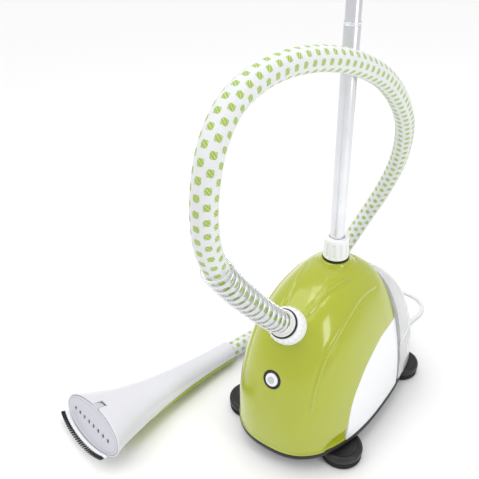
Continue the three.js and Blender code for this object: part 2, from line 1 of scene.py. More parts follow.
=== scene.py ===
"""Garment steamer: shapes and finishes for the rendered model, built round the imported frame."""
import logging
import math
from dataclasses import dataclass
from enum import Enum
from typing import Callable, Optional, Sequence, Union

import bmesh
import bpy
import numpy as np
from mathutils import Matrix, Vector


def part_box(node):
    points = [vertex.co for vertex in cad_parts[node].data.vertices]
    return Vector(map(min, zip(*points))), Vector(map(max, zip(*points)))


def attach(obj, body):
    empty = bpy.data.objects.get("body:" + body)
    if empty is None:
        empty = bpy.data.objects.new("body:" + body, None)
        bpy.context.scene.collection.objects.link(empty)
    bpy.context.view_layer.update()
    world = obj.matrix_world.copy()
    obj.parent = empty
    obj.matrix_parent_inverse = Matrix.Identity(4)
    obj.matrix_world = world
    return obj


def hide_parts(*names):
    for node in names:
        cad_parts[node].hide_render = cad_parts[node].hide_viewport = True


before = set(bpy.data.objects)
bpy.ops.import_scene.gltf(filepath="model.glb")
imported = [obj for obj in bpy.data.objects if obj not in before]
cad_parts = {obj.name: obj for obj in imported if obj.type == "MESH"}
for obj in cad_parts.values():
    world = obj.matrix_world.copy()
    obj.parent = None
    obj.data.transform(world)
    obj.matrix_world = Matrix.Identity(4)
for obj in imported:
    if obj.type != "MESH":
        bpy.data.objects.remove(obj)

LOG = logging.getLogger("garment_steamer")
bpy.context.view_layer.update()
MM = 0.001
TAU = 2 * math.pi
Point = tuple[float, float, float]
Profile = Sequence[tuple[float, float]]


def pole_axis() -> Vector:
    """Where the pole's axis meets the floor, in metres."""
    low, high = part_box("pole_lower_tube")
    return Vector(((low.x + high.x) / 2, (low.y + high.y) / 2, 0.0))


AXIS = pole_axis()


def at(x: float, y: float, z: float) -> Vector:
    """A point given in millimetres from the pole's foot, as metres in the row frame."""
    return AXIS + Vector((x, y, z)) * MM


def placed(point: Point, turn: Optional[Matrix] = None) -> Matrix:
    """A placement at a point given in millimetres from the pole's foot.

    Args:
        point: where the piece's own origin goes.
        turn: the piece's rotation, if it has one.

    Returns:
        The matrix from millimetres in the piece's own axes to metres in the row frame.
    """
    spin = turn if turn is not None else Matrix.Identity(4)
    return Matrix.Translation(at(*point)) @ spin @ Matrix.Scale(MM, 4)


FOOT = placed((0, 0, 0))


def turned_by(x: float = 0, y: float = 0, z: float = 0) -> Matrix:
    """A rotation by degrees about X, then Y, then Z."""
    about_x = Matrix.Rotation(math.radians(x), 4, "X")
    about_y = Matrix.Rotation(math.radians(y), 4, "Y")
    return Matrix.Rotation(math.radians(z), 4, "Z") @ about_y @ about_x


# ------------------------------------------------------------------ shader writing
class Tone(Enum):
    """The base colours of the steamer's materials, as linear red, green and blue."""

    LIME = (0.4, 0.45, 0.012)
    LIME_DEEP = (0.36, 0.44, 0.014)
    WHITE = (0.79, 0.795, 0.83)
    WARM_WHITE = (0.8, 0.8, 0.79)
    # painted shade: the handset's white, set darker than WHITE because the handset's top faces the sun, with
    # a faint lavender tint
    SHADED_PEARL = (0.71, 0.71, 0.76)
    GREY = (0.56, 0.57, 0.62)
    MARK = (0.55, 0.57, 0.6)
    BLACK = (0.009, 0.009, 0.01)
    RUBBER = (0.012, 0.012, 0.012)
    ALUMINIUM = (0.76, 0.77, 0.8)
    CAST = (0.5, 0.5, 0.5)
    STEEL = (0.78, 0.79, 0.81)
    BRASS = (0.62, 0.44, 0.17)
    CLEAR = (0.96, 0.97, 0.98)
    YARN = (0.86, 0.87, 0.9)
    YARN_GREEN = (0.36, 0.53, 0.05)


def rgba(tone: Tone, gain: float = 1.0) -> tuple[float, float, float, float]:
    """A tone as four numbers, made lighter or darker by a gain."""
    red, green, blue = tone.value
    return (min(red * gain, 1.0), min(green * gain, 1.0), min(blue * gain, 1.0), 1.0)


class Signal:
    """A value of one material's node tree. Arithmetic on it adds Math nodes."""

    def __init__(self, board: "Board", socket: bpy.types.NodeSocket) -> None:
        """Wraps an output socket of the board's tree."""
        self.board = board
        self.socket = socket

    def _math(self, operation: str, first: object, second: object = 0.0) -> "Signal":
        """One Math node on two values."""
        return self.board.node("ShaderNodeMath", {"operation": operation}, {0: first, 1: second})

    def __add__(self, other: object) -> "Signal":
        """self + other."""
        return self._math("ADD", self, other)

    def __radd__(self, other: object) -> "Signal":
        """other + self."""
        return self._math("ADD", other, self)

    def __sub__(self, other: object) -> "Signal":
        """self - other."""
        return self._math("SUBTRACT", self, other)

    def __rsub__(self, other: object) -> "Signal":
        """other - self."""
        return self._math("SUBTRACT", other, self)

    def __mul__(self, other: object) -> "Signal":
        """self * other."""
        return self._math("MULTIPLY", self, other)

    def __rmul__(self, other: object) -> "Signal":
        """other * self."""
        return self._math("MULTIPLY", other, self)

    def __truediv__(self, other: object) -> "Signal":
        """self / other."""
        return self._math("DIVIDE", self, other)

    def __abs__(self) -> "Signal":
        """The size of the value."""
        return self._math("ABSOLUTE", self)

    def fraction(self) -> "Signal":
        """What is past the whole number below."""
        return self._math("FRACT", self)

    def whole(self) -> "Signal":
        """The whole number below."""
        return self._math("FLOOR", self)

    def sine(self) -> "Signal":
        """The sine of the value in radians."""
        return self._math("SINE", self)

    def eased(self, low: float, high: float) -> "Signal":
        """A smooth step from 0 at low to 1 at high."""
        settings = {"interpolation_type": "SMOOTHSTEP"}
        limits = {"Value": self, "From Min": low, "From Max": high}
        return self.board.node("ShaderNodeMapRange", settings, limits)


class Board:
    """One material's node tree, and the Principled shader at its end."""

    def __init__(self, name: str) -> None:
        """Starts a material of that name."""
        self.material = bpy.data.materials.new(name)
        self.material.use_nodes = True
        self.tree = self.material.node_tree
        self.shader = next(n for n in self.tree.nodes if n.type == "BSDF_PRINCIPLED")

    def node(self, kind: str, settings: dict[str, object], inputs: dict[object, object],
             output: object = 0) -> Signal:
        """Adds a node, sets it up and joins its inputs.

        Args:
            kind: the node's type.
            settings: its properties, with a ramp's stops as (position, colour) pairs.
            inputs: values or signals by input name or number.
            output: the name or number of the output that is wanted.

        Returns:
            The output as a signal.
        """
        made = self.tree.nodes.new(kind)
        for key, value in settings.items():
            if key == "stops":
                ramp = made.color_ramp
                for _ in range(len(value) - 2):
                    ramp.elements.new(0.5)
                for element, (position, colour) in zip(ramp.elements, value):
                    element.position, element.color = position, colour
            else:
                setattr(made, key, value)
        for key, value in inputs.items():
            self.join(made.inputs[key], value)
        return Signal(self, made.outputs[output])

    def join(self, socket: bpy.types.NodeSocket, value: object) -> None:
        """Links a signal to a socket, or sets the socket to a constant."""
        if isinstance(value, Signal):
            self.tree.links.new(value.socket, socket)
        else:
            socket.default_value = value

    def set(self, **sockets: object) -> None:
        """Sets the shader's sockets, with underscores for the spaces in their names."""
        for key, value in sockets.items():
            self.join(self.shader.inputs[key.replace("_", " ")], value)

    def place(self) -> Signal:
        """The surface point in the row frame, in metres."""
        return self.node("ShaderNodeTexCoord", {}, {}, "Object")

    def stretched(self, scale: Point) -> Signal:
        """The surface point with its axes scaled, for grain that runs one way."""
        settings = {"operation": "MULTIPLY"}
        return self.node("ShaderNodeVectorMath", settings, {0: self.place(), 1: scale})

    def noise(self, scale: float, detail: float = 3.0, vector: Optional[Signal] = None) -> Signal:
        """Soft noise from 0 to 1, of a given number of grains per metre."""
        where = vector if vector is not None else self.place()
        return self.node("ShaderNodeTexNoise", {}, {"Vector": where, "Scale": scale, "Detail": detail})

    def mixed(self, share: Signal, first: object, second: object) -> Signal:
        """A colour between two others."""
        return self.node("ShaderNodeMix", {"data_type": "RGBA"}, {0: share, 6: first, 7: second}, 2)

    def bumped(self, height: Signal, depth_mm: float, strength: float = 1.0) -> None:
        """Sends a height from 0 to 1, this many millimetres deep, to the shader's normal."""
        values = {"Height": height, "Distance": depth_mm * MM, "Strength": strength}
        self.set(Normal=self.node("ShaderNodeBump", {}, values, "Normal"))


@dataclass(frozen=True)
class Finish:
    """A named surface finish. Each kind paints its own board."""

    name: str
    tone: Tone

    def paint(self, board: Board) -> None:
        """Fills the board's shader."""
        raise NotImplementedError

    def material(self) -> bpy.types.Material:
        """The finish's material, made once.

        Returns:
            The material, new or already known.
        """
        known = bpy.data.materials.get(self.name)
        if known is not None:
            return known
        board = Board(self.name)
        self.paint(board)
        return board.material


@dataclass(frozen=True)
class Moulded(Finish):
    """Injection-moulded plastic: fine orange peel, faint shade drift and handling marks."""

    roughness: float = 0.3
    coat: float = 0.0
    peel_mm: float = 0.02
    peel_scale: float = 700.0
    drift: float = 0.04
    glow: float = 0.0

    def paint(self, board: Board) -> None:
        """Fills the board's shader.

        Args:
            board: the material's node tree.
        """
        cloud = board.noise(14.0, 2.0)
        colour = board.mixed(cloud, rgba(self.tone, 1 - self.drift), rgba(self.tone, 1 + self.drift))
        smear = board.noise(38.0, 4.0, board.stretched((1.0, 1.0, 0.4)))
        rough = self.roughness * (0.86 + 0.28 * smear)
        board.set(Base_Color=colour, Roughness=rough, Coat_Weight=self.coat, Coat_Roughness=0.05)
        board.set(Subsurface_Weight=self.glow, Subsurface_Scale=0.002)
        board.bumped(board.noise(self.peel_scale, 2.0), self.peel_mm)


@dataclass(frozen=True)
class Grained(Finish):
    """Black moulding or rubber with a spark-eroded grain, greyer where it is handled."""

    roughness: float = 0.5
    grain_mm: float = 0.05
    grain_scale: float = 1500.0

    def paint(self, board: Board) -> None:
        """Fills the board's shader.

        Args:
            board: the material's node tree.
        """
        grain = board.noise(self.grain_scale, 4.0)
        dust = board.noise(26.0, 5.0).eased(0.52, 0.78)
        colour = board.mixed(dust * 0.35, rgba(self.tone), rgba(self.tone, 2.6))
        board.set(Base_Color=colour, Roughness=self.roughness + 0.18 * grain - 0.09)
        board.bumped(grain, self.grain_mm)


@dataclass(frozen=True)
class Drawn(Finish):
    """Drawn or brushed metal, its lines running along one axis."""

    roughness: float = 0.25
    lines: Point = (2600.0, 2600.0, 12.0)
    line_mm: float = 0.008
    pale: float = 1.1

    def paint(self, board: Board) -> None:
        """Fills the board's shader.

        Args:
            board: the material's node tree.
        """
        lines = board.noise(1.0, 5.0, board.stretched(self.lines))
        stain = board.noise(30.0, 3.0)
        colour = board.mixed(stain, rgba(self.tone, 0.92), rgba(self.tone, self.pale))
        board.set(Base_Color=colour, Metallic=1.0, Roughness=self.roughness + 0.16 * lines - 0.05)
        board.bumped(lines, self.line_mm)


@dataclass(frozen=True)
class Clear(Finish):
    """Clear moulded plastic, slightly cloudy, with a faint flow pattern."""

    cloudy: float = 0.1

    def paint(self, board: Board) -> None:
        """Fills the board's shader.

        Args:
            board: the material's node tree.
        """
        flow = board.noise(60.0, 3.0, board.stretched((1.0, 1.0, 0.3)))
        board.set(Base_Color=board.mixed(flow, rgba(self.tone, 0.96), rgba(self.tone, 1.03)))
        board.set(Roughness=self.cloudy + 0.08 * flow, Transmission_Weight=0.6, IOR=1.25)
        board.set(Coat_Weight=0.3, Coat_Roughness=0.04)
        board.bumped(flow, 0.05)


@dataclass(frozen=True)
class Woven(Finish):
    """White braid over the hose, with columns of green marks, each of slanting stitches, and painted shade in
    the grooves between strands.
    """

    pitch: float = 15.3
    columns: int = 8
    mark: tuple[float, float] = (3.8, 4.1)
    stitch: float = 3.9
    start: float = 0.058
    cell_mm: float = 11.6
    braid_mm: float = 0.35

    def paint(self, board: Board) -> None:
        """Fills the board's shader.

        Args:
            board: the material's node tree.
        """
        lay = board.node("ShaderNodeUVMap", {"uv_map": "lay"}, {})
        split = board.node("ShaderNodeSeparateXYZ", {}, {0: lay})
        along = Signal(board, split.socket.node.outputs[0]) * 1000.0
        around = (Signal(board, split.socket.node.outputs[1]) + self.start) * float(self.columns)
        odd = (around.whole() * 0.5).fraction()
        x = ((along / self.pitch + odd).fraction() - 0.5) * self.pitch
        y = (around.fraction() - 0.5) * self.cell_mm
        reach, rise = x * x / self.mark[0]**2, y * y / self.mark[1]**2
        inside = 1.0 - (reach * reach + rise * rise).eased(0.55, 1.0)
        slant = ((x + y * 0.8) / self.stitch).fraction() - 0.5
        stitches = inside * (1.0 - abs(slant).eased(0.36, 0.48))
        turns = around * (TAU * 3.0)
        left = (along * 2.4 + turns).sine()
        right = (along * 2.4 - turns).sine()
        braid = abs(left) * 0.5 + abs(right) * 0.5
        worn = board.noise(40.0, 3.0)
        # painted shade: the white yarn and the green stitches are coloured darker where the braid height is
        # low, in the grooves between strands, and lighter on the strand tops
        yarn_with_groove_shade = board.mixed(braid, rgba(self.tone, 0.7), rgba(self.tone, 1.04))
        yarn_with_groove_shade = board.mixed(worn * 0.05, yarn_with_groove_shade, rgba(Tone.YARN_GREEN, 1.3))
        dyed_with_groove_shade = board.mixed(braid, rgba(Tone.YARN_GREEN, 0.8), rgba(Tone.YARN_GREEN, 1.1))
        board.set(Base_Color=board.mixed(stitches, yarn_with_groove_shade, dyed_with_groove_shade), Roughness=0.82 - 0.1 * braid)
        board.set(Sheen_Weight=0.25, Sheen_Roughness=0.4)
        board.bumped(braid * 0.7 + stitches * 0.6, self.braid_mm)


class Finishes:
    """The steamer's finishes by the part of the object they dress."""

    SHELL = Moulded("lime_gloss", Tone.LIME, roughness=0.22, coat=0.75, glow=0.06)
    GRIP = Moulded("lime_satin", Tone.LIME_DEEP, roughness=0.34, coat=0.3)
    WHITE = Moulded("white_gloss", Tone.WHITE, roughness=0.26, coat=0.45, drift=0.015, glow=0.05)
    SATIN = Moulded("white_satin", Tone.WARM_WHITE, roughness=0.45, drift=0.02)
    GREY = Moulded("grey_gloss", Tone.GREY, roughness=0.3, coat=0.3, drift=0.03)
    # painted shade: a darker white for the handset shell, toned down because its top faces the sun
    SHADED_PEARL = Moulded("handset_shaded_white", Tone.SHADED_PEARL, roughness=0.3, coat=0.4, drift=0.015)
    PALE = Moulded("pale_grey", Tone.WARM_WHITE, roughness=0.3, coat=0.2)
    MARK = Moulded("button_mark", Tone.MARK, roughness=0.4, drift=0.05)
    LEAD = Moulded("lead_white", Tone.WARM_WHITE, roughness=0.42, peel_scale=420.0, drift=0.03)
    BLACK = Grained("black_moulding", Tone.BLACK, roughness=0.42)
    BRISTLE = Grained("bristle_black", Tone.BLACK, roughness=0.5, grain_scale=2400.0)
    RUBBER = Grained("black_rubber", Tone.RUBBER, roughness=0.72, grain_mm=0.08, grain_scale=900.0)
    TUBE = Drawn("pole_aluminium", Tone.ALUMINIUM, roughness=0.24)
    FERRULE = Drawn("ferrule_aluminium", Tone.ALUMINIUM, roughness=0.16, pale=1.3)
    CAST = Drawn("cast_aluminium", Tone.CAST, roughness=0.5, lines=(300.0, 300.0, 300.0), line_mm=0.06)
    WIRE = Drawn("spring_steel", Tone.STEEL, roughness=0.2, lines=(900.0, 900.0, 900.0), line_mm=0.004)
    BRASS = Drawn("brass", Tone.BRASS, roughness=0.3)
    TANK = Clear("tank_clear", Tone.CLEAR)
    HOSE = Woven("hose_braid", Tone.YARN)


# ------------------------------------------------------------------ mesh making
def smooth_path(points: Sequence[Point], steps: int = 12) -> list[Vector]:
    """A centripetal curve through points, sampled evenly between each pair.

    Args:
        points: the points that it passes through.
        steps: the samples in each span.

    Returns:
        The samples, in the points' own units.
    """
    knots = [Vector(p) for p in points]
    knots = [2 * knots[0] - knots[1], *knots, 2 * knots[-1] - knots[-2]]
    line: list[Vector] = []
    for i in range(1, len(knots) - 2):
        p0, p1, p2, p3 = knots[i - 1:i + 3]
        gaps = [math.sqrt((b - a).length) or 1e-6 for a, b in ((p0, p1), (p1, p2), (p2, p3))]
        t1 = ((p1 - p0) / gaps[0] - (p2 - p0) / (gaps[0] + gaps[1]) + (p2 - p1) / gaps[1]) * gaps[1]
        t2 = ((p2 - p1) / gaps[1] - (p3 - p1) / (gaps[1] + gaps[2]) + (p3 - p2) / gaps[2]) * gaps[1]
        for k in range(steps):
            u = k / steps
            line.append(p1 * (2 * u**3 - 3 * u**2 + 1) + t1 * (u**3 - 2 * u**2 + u)
                        + p2 * (3 * u**2 - 2 * u**3) + t2 * (u**3 - u**2))
    return [*line, knots[-2]]


def rounded(profile: Profile, radius: float, steps: int = 3,
            closed: bool = False) -> list[tuple[float, float]]:
    """A profile with its corners rounded.

    Args:
        profile: the corners, as (radius, height) pairs.
        radius: the most that a corner is rounded by.
        steps: the spans in each rounded corner.
        closed: whether the last corner joins the first.

    Returns:
        The profile with an arc of points at each corner.
    """
    corners = [Vector(p) for p in profile]
    count = len(corners)
    made: list[tuple[float, float]] = []
    for i, corner in enumerate(corners):
        if not closed and i in (0, count - 1):
            made.append(tuple(corner))
            continue
        before, after = corners[i - 1], corners[(i + 1) % count]
        reach = min(radius, (before - corner).length * 0.45, (after - corner).length * 0.45)
        start = corner + (before - corner).normalized() * reach
        end = corner + (after - corner).normalized() * reach
        for k in range(steps + 1):
            u = k / steps
            made.append(tuple(start * (1 - u) ** 2 + corner * 2 * u * (1 - u) + end * u**2))
    return made


def ringed(profile: Profile, radius: float, steps: int = 3) -> list[tuple[float, float]]:
    """A closed outline with its corners rounded."""
    return rounded(profile, radius, steps, closed=True)


class Sheet(Enum):
    """How a grid of points closes."""

    CAPPED = "capped"
    LOOPED = "looped"


@dataclass
class Piece:
    """A mesh on its way to being one of the object's pieces."""

    name: str
    points: list[Vector]
    faces: list[tuple[int, ...]]
    lay: Optional[list[tuple[float, float]]] = None

    def added(self, other: "Piece") -> "Piece":
        """This piece with another's faces as well."""
        start = len(self.points)
        self.points += other.points
        self.faces += [tuple(i + start for i in face) for face in other.faces]
        return self

    def moved(self, matrix: Matrix) -> "Piece":
        """This piece with its points moved by a matrix."""
        self.points = [matrix @ p for p in self.points]
        return self

    def raw(self, sharp: float = 38.0) -> bpy.types.Object:
        """The piece as a linked object with smooth shading, creased at its sharp edges.

        Args:
            sharp: the angle in degrees above which an edge stays crisp.

        Returns:
            The object.
        """
        mesh = bpy.data.meshes.new(self.name)
        mesh.from_pydata([tuple(p) for p in self.points], [], self.faces)
        if self.lay is not None:
            layer = mesh.uv_layers.new(name="lay")
            for loop in range(len(mesh.loops)):
                layer.data[loop].uv = self.lay[loop]
        else:
            faced = bmesh.new()
            faced.from_mesh(mesh)
            bmesh.ops.recalc_face_normals(faced, faces=faced.faces)
            faced.to_mesh(mesh)
            faced.free()
        made = bpy.data.objects.new(self.name, mesh)
        bpy.context.scene.collection.objects.link(made)
        soften(made, sharp)
        return made


def soften(piece: bpy.types.Object, sharp: float = 38.0) -> None:
    """Smooth shading, with edges sharper than an angle in degrees kept crisp."""
    piece.data.shade_smooth()
    piece.data.set_sharp_from_angle(angle=math.radians(sharp))


def skinned(name: str, rings: Sequence[Sequence[Vector]], close: Sheet = Sheet.CAPPED) -> Piece:
    """A skin over rings of equal point counts.

    Args:
        name: the piece's name.
        rings: closed loops of points, one after another.
        close: whether the ends are capped, or the last ring joins the first.

    Returns:
        The piece.
    """
    around = len(rings[0])
    points = [Vector(p) for ring in rings for p in ring]
    faces: list[tuple[int, ...]] = []
    spans = len(rings) if close is Sheet.LOOPED else len(rings) - 1
    for i in range(spans):
        a, b = i * around, ((i + 1) % len(rings)) * around
        faces += [(a + j, a + (j + 1) % around, b + (j + 1) % around, b + j) for j in range(around)]
    if close is Sheet.CAPPED:
        last = (len(rings) - 1) * around
        faces.append(tuple(reversed(range(around))))
        faces.append(tuple(range(last, last + around)))
    return Piece(name, points, faces)


def lathe(name: str, profile: Profile, segments: int = 64,
          bulge: Optional[Callable[[float, float, float], float]] = None) -> Piece:
    """A turned piece about +Z.

    Args:
        name: the piece's name.
        profile: (radius, height) pairs in millimetres; a loop unless it starts and ends on the axis.
        segments: how many steps round it has.
        bulge: what to add to the radius at (angle, radius, height), if anything.

    Returns:
        The piece, in millimetres.
    """
    on_axis = profile[0][0] < 1e-6 and profile[-1][0] < 1e-6
    rim = list(profile[1:-1]) if on_axis else list(profile)
    rings = []
    for radius, height in rim:
        ring = []
        for j in range(segments):
            angle = TAU * j / segments
            r = radius + (bulge(angle, radius, height) if bulge else 0.0)
            ring.append(Vector((r * math.cos(angle), r * math.sin(angle), height)))
        rings.append(ring)
    return skinned(name, rings, Sheet.CAPPED if on_axis else Sheet.LOOPED)


def swept(name: str, line: Sequence[Vector], radius: Union[float, Callable[[float], float]],
          sides: int = 24, with_lay: bool = False) -> Piece:
    """A round tube along a line, without twist.

    Args:
        name: the piece's name.
        line: the centreline.
        radius: the tube's radius, or a function of the length so far.
        sides: how many sides it has.
        with_lay: whether it gets a map of (metres so far, share of the way round).

    Returns:
        The piece, in the line's own units.
    """
    rings, runs = [], [0.0]
    side: Optional[Vector] = None
    for i, here in enumerate(line):
        ahead = line[min(i + 1, len(line) - 1)] - line[max(i - 1, 0)]
        ahead.normalize()
        guess = side if side is not None else (Vector((0, 0, 1)) if abs(ahead.z) < 0.9 else Vector((1, 0, 0)))
        side = (guess - ahead * guess.dot(ahead)).normalized()
        lift = ahead.cross(side)
        if i:
            runs.append(runs[-1] + (here - line[i - 1]).length)
        r = radius(runs[-1]) if callable(radius) else radius
        rings.append([here + (side * math.cos(a) + lift * math.sin(a)) * r
                      for a in (TAU * j / sides for j in range(sides))])
    runs = [run * MM for run in runs]
    made = skinned(name, rings)
    if with_lay:
        corners: list[tuple[float, float]] = []
        for i in range(len(rings) - 1):
            for j in range(sides):
                corners += [(runs[i], j / sides), (runs[i], (j + 1) / sides),
                            (runs[i + 1], (j + 1) / sides), (runs[i + 1], j / sides)]
        corners += [(run, 0.0) for run in (runs[0], runs[-1]) for _ in range(sides)]
        made.lay = corners
    return made


def slab(name: str, outline: Sequence[tuple[float, float]], low: float, high: float, edge: float = 0.0,
         steps: int = 3) -> Piece:
    """An outline pushed up +Z, with rounded rims.

    Args:
        name: the piece's name.
        outline: its points in the plane, counter-clockwise.
        low: the height of its underside.
        high: the height of its top.
        edge: how far its rims are rounded.
        steps: the spans in each rounded rim.

    Returns:
        The piece.
    """
    flat = [Vector((x, y)) for x, y in outline]
    count = len(flat)
    inward = []
    for i, here in enumerate(flat):
        run = (flat[(i + 1) % count] - flat[i - 1]).normalized()
        inward.append(Vector((-run.y, run.x)))
    levels = [(0.0, low), (0.0, high)]
    if edge:
        arcs = [TAU / 4 * k / steps for k in range(steps + 1)]
        levels = [(edge * (1 - math.sin(a)), low + edge * (1 - math.cos(a))) for a in arcs]
        levels += [(edge * (1 - math.cos(a)), high - edge * (1 - math.sin(a))) for a in arcs]
    rings = [[Vector((*(p + n * inset), z)) for p, n in zip(flat, inward)] for inset, z in levels]
    return skinned(name, rings)


def block(name: str, low: Point, high: Point, edge: float = 0.0) -> Piece:
    """A box between two corners, with its upright and level edges rounded if edge is given."""
    corners = [(low[0], low[1]), (high[0], low[1]), (high[0], high[1]), (low[0], high[1])]
    outline = ringed(corners, edge, 3) if edge else corners
    return slab(name, outline, low[2], high[2], edge * 0.6)


def carved(piece: bpy.types.Object, tools: Sequence[tuple[str, bpy.types.Object]],
           sharp: float = 32.0) -> bpy.types.Object:
    """Cuts, joins or keeps what other solids cover, in order.

    Args:
        piece: the object that is changed.
        tools: (operation, solid) pairs; each solid is used up.
        sharp: the angle in degrees above which an edge stays crisp.

    Returns:
        The same object with its new mesh.
    """
    for operation, tool in tools:
        step = piece.modifiers.new(operation.lower(), "BOOLEAN")
        step.operation, step.object, step.solver = operation, tool, "MANIFOLD"
    bpy.context.view_layer.update()
    solid = piece.evaluated_get(bpy.context.evaluated_depsgraph_get())
    mesh = bpy.data.meshes.new_from_object(solid)
    piece.modifiers.clear()
    old, piece.data = piece.data, mesh
    mesh.name = piece.name
    bpy.data.meshes.remove(old)
    for _, tool in tools:
        bpy.data.objects.remove(tool)
    soften(piece, sharp)
    return piece


def dress(piece: bpy.types.Object, finish: Finish, body: str,
          stands_for: Sequence[str] = ()) -> bpy.types.Object:
    """Gives a piece its finish and body, and hides the CAD nodes that it replaces.

    Args:
        piece: the finished object.
        finish: what it is made of.
        body: the CAD body that it moves with.
        stands_for: the CAD nodes that it replaces.

    Returns:
        The piece.
    """
    piece.data.materials.clear()
    piece.data.materials.append(finish.material())
    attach(piece, body)
    if stands_for:
        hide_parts(*stands_for)
    LOG.info("%s: %d faces on %s", piece.name, len(piece.data.polygons), body)
    return piece


# ------------------------------------------------------------------ studio
@dataclass
class Studio:
    """The camera, the floor and the soft lights."""

    eye: Point = (343.9, -699.2, 769.4)
    right: Point = (0.80691, 0.59029, -0.02118)
    up: Point = (-0.29088, 0.42832, 0.85553)
    lens: float = 45.18
    floor_half: float = 6.0
    floor_low: float = -0.0006
    sky: float = 0.74
    sun_power: float = 1.05
    sun_spread: float = 60.0
    sun_from: Point = (-0.45, -0.35, 1.0)

    def camera(self) -> None:
        """Stands the camera in front of the object and to its right, above it."""
        data = bpy.data.cameras.new("camera")
        data.lens, data.sensor_width, data.clip_start = self.lens, 36.0, 0.02
        made = bpy.data.objects.new("camera", data)
        bpy.context.scene.collection.objects.link(made)
        right, up = Vector(self.right), Vector(self.up)
        turn = Matrix((right, up, right.cross(up))).transposed().to_4x4()
        made.matrix_world = Matrix.Translation(at(*self.eye)) @ turn
        bpy.context.scene.camera = made

    def light(self, name: str, spot: Point, aim: Point, size: tuple[float, float], power: float) -> None:
        """One rectangular softbox.

        Args:
            name: its name.
            spot: where it hangs, in millimetres from the pole's foot.
            aim: what it faces, in the same terms.
            size: its width and height in metres.
            power: its power in watts.
        """
        data = bpy.data.lights.new(name, "AREA")
        data.shape, data.size, data.size_y, data.energy = "RECTANGLE", size[0], size[1], power
        made = bpy.data.objects.new(name, data)
        bpy.context.scene.collection.objects.link(made)
        away = at(*spot) - at(*aim)
        made.matrix_world = Matrix.Translation(at(*spot)) @ away.to_track_quat("Z", "Y").to_matrix().to_4x4()

    def sun(self) -> None:
        """A wide, soft sun that lights the whole floor alike."""
        data = bpy.data.lights.new("wide_sun", "SUN")
        data.energy, data.angle = self.sun_power, math.radians(self.sun_spread)
        made = bpy.data.objects.new("wide_sun", data)
        bpy.context.scene.collection.objects.link(made)
        made.rotation_euler = Vector(self.sun_from).to_track_quat("Z", "Y").to_euler()

    def floor(self) -> None:
        """A plain pale floor."""
        half = self.floor_half
        corners = [(-half, -half), (half, -half), (half, half), (-half, half)]
        made = slab("floor", corners, self.floor_low - 0.02, self.floor_low).raw()
        board = Board("floor_paper")
        board.set(Base_Color=(0.93, 0.93, 0.93, 1.0), Roughness=0.9)
        made.data.materials.append(board.material)

    def build(self) -> None:
        """Sets the stage."""
        self.camera()
        self.floor()
        world = bpy.data.worlds.new("studio")
        world.use_nodes = True
        world.node_tree.nodes["Background"].inputs["Color"].default_value = (1, 1, 1, 1)
        world.node_tree.nodes["Background"].inputs["Strength"].default_value = self.sky
        bpy.context.scene.world = world
        bpy.context.scene.view_settings.view_transform = "Standard"
        self.sun()
        self.light("top_box", (-100, 250, 1900), (0, 0, 150), (0.9, 0.9), 6.0)
        self.light("right_box", (1300, -250, 900), (0, 0, 150), (0.35, 0.9), 4.0)


# ------------------------------------------------------------------ hose and lead
OUTLET: Point = (0, -147, 241)
OUTLET_TILT = 45.0
HOSE_ROUTE = [
    (0, -151, 245), (0, -182, 277), (-3, -217, 319), (-4, -250, 360), (-3, -279, 401), (1, -298, 443),
    (5, -305, 487), (6, -300, 523), (4, -284, 554), (2, -253, 581), (4, -213, 596), (9, -167, 601),
    (16, -117, 597), (23, -68, 586), (27.5, -18, 568), (30, 43, 538), (28, 110, 489), (18, 172, 429),
    (-7, 226, 346), (-37, 247, 272), (-62, 246, 217), (-82, 231, 168), (-99, 205, 122), (-114, 172, 84),
    (-131, 132, 54), (-144, 95, 35), (-157, 58, 22.5), (-168, 18, 18.8), (-175.4, -11, 19.3),
    (-182.1, -40.2, 19.5), (-184.8, -52, 19.5),
]
LEAD_ROUTE = [
    (45, 149, 29), (45, 165, 29), (45, 181, 28.8), (45.5, 200, 23), (47, 220, 11.5), (49.5, 241, 4.8),
    (53, 262, 3.6), (56, 286, 3.6), (51, 310, 3.6), (36, 327, 3.6), (11, 334.5, 3.6), (-20, 331, 3.6),
    (-50, 317, 3.6), (-76, 294, 3.6), (-94, 266, 3.6), (-101.5, 238, 3.6), (-102, 212, 3.6),
]


def run_of(line: Sequence[Vector]) -> float:
    """The length of a line of points."""
    return sum((b - a).length for a, b in zip(line, line[1:]))


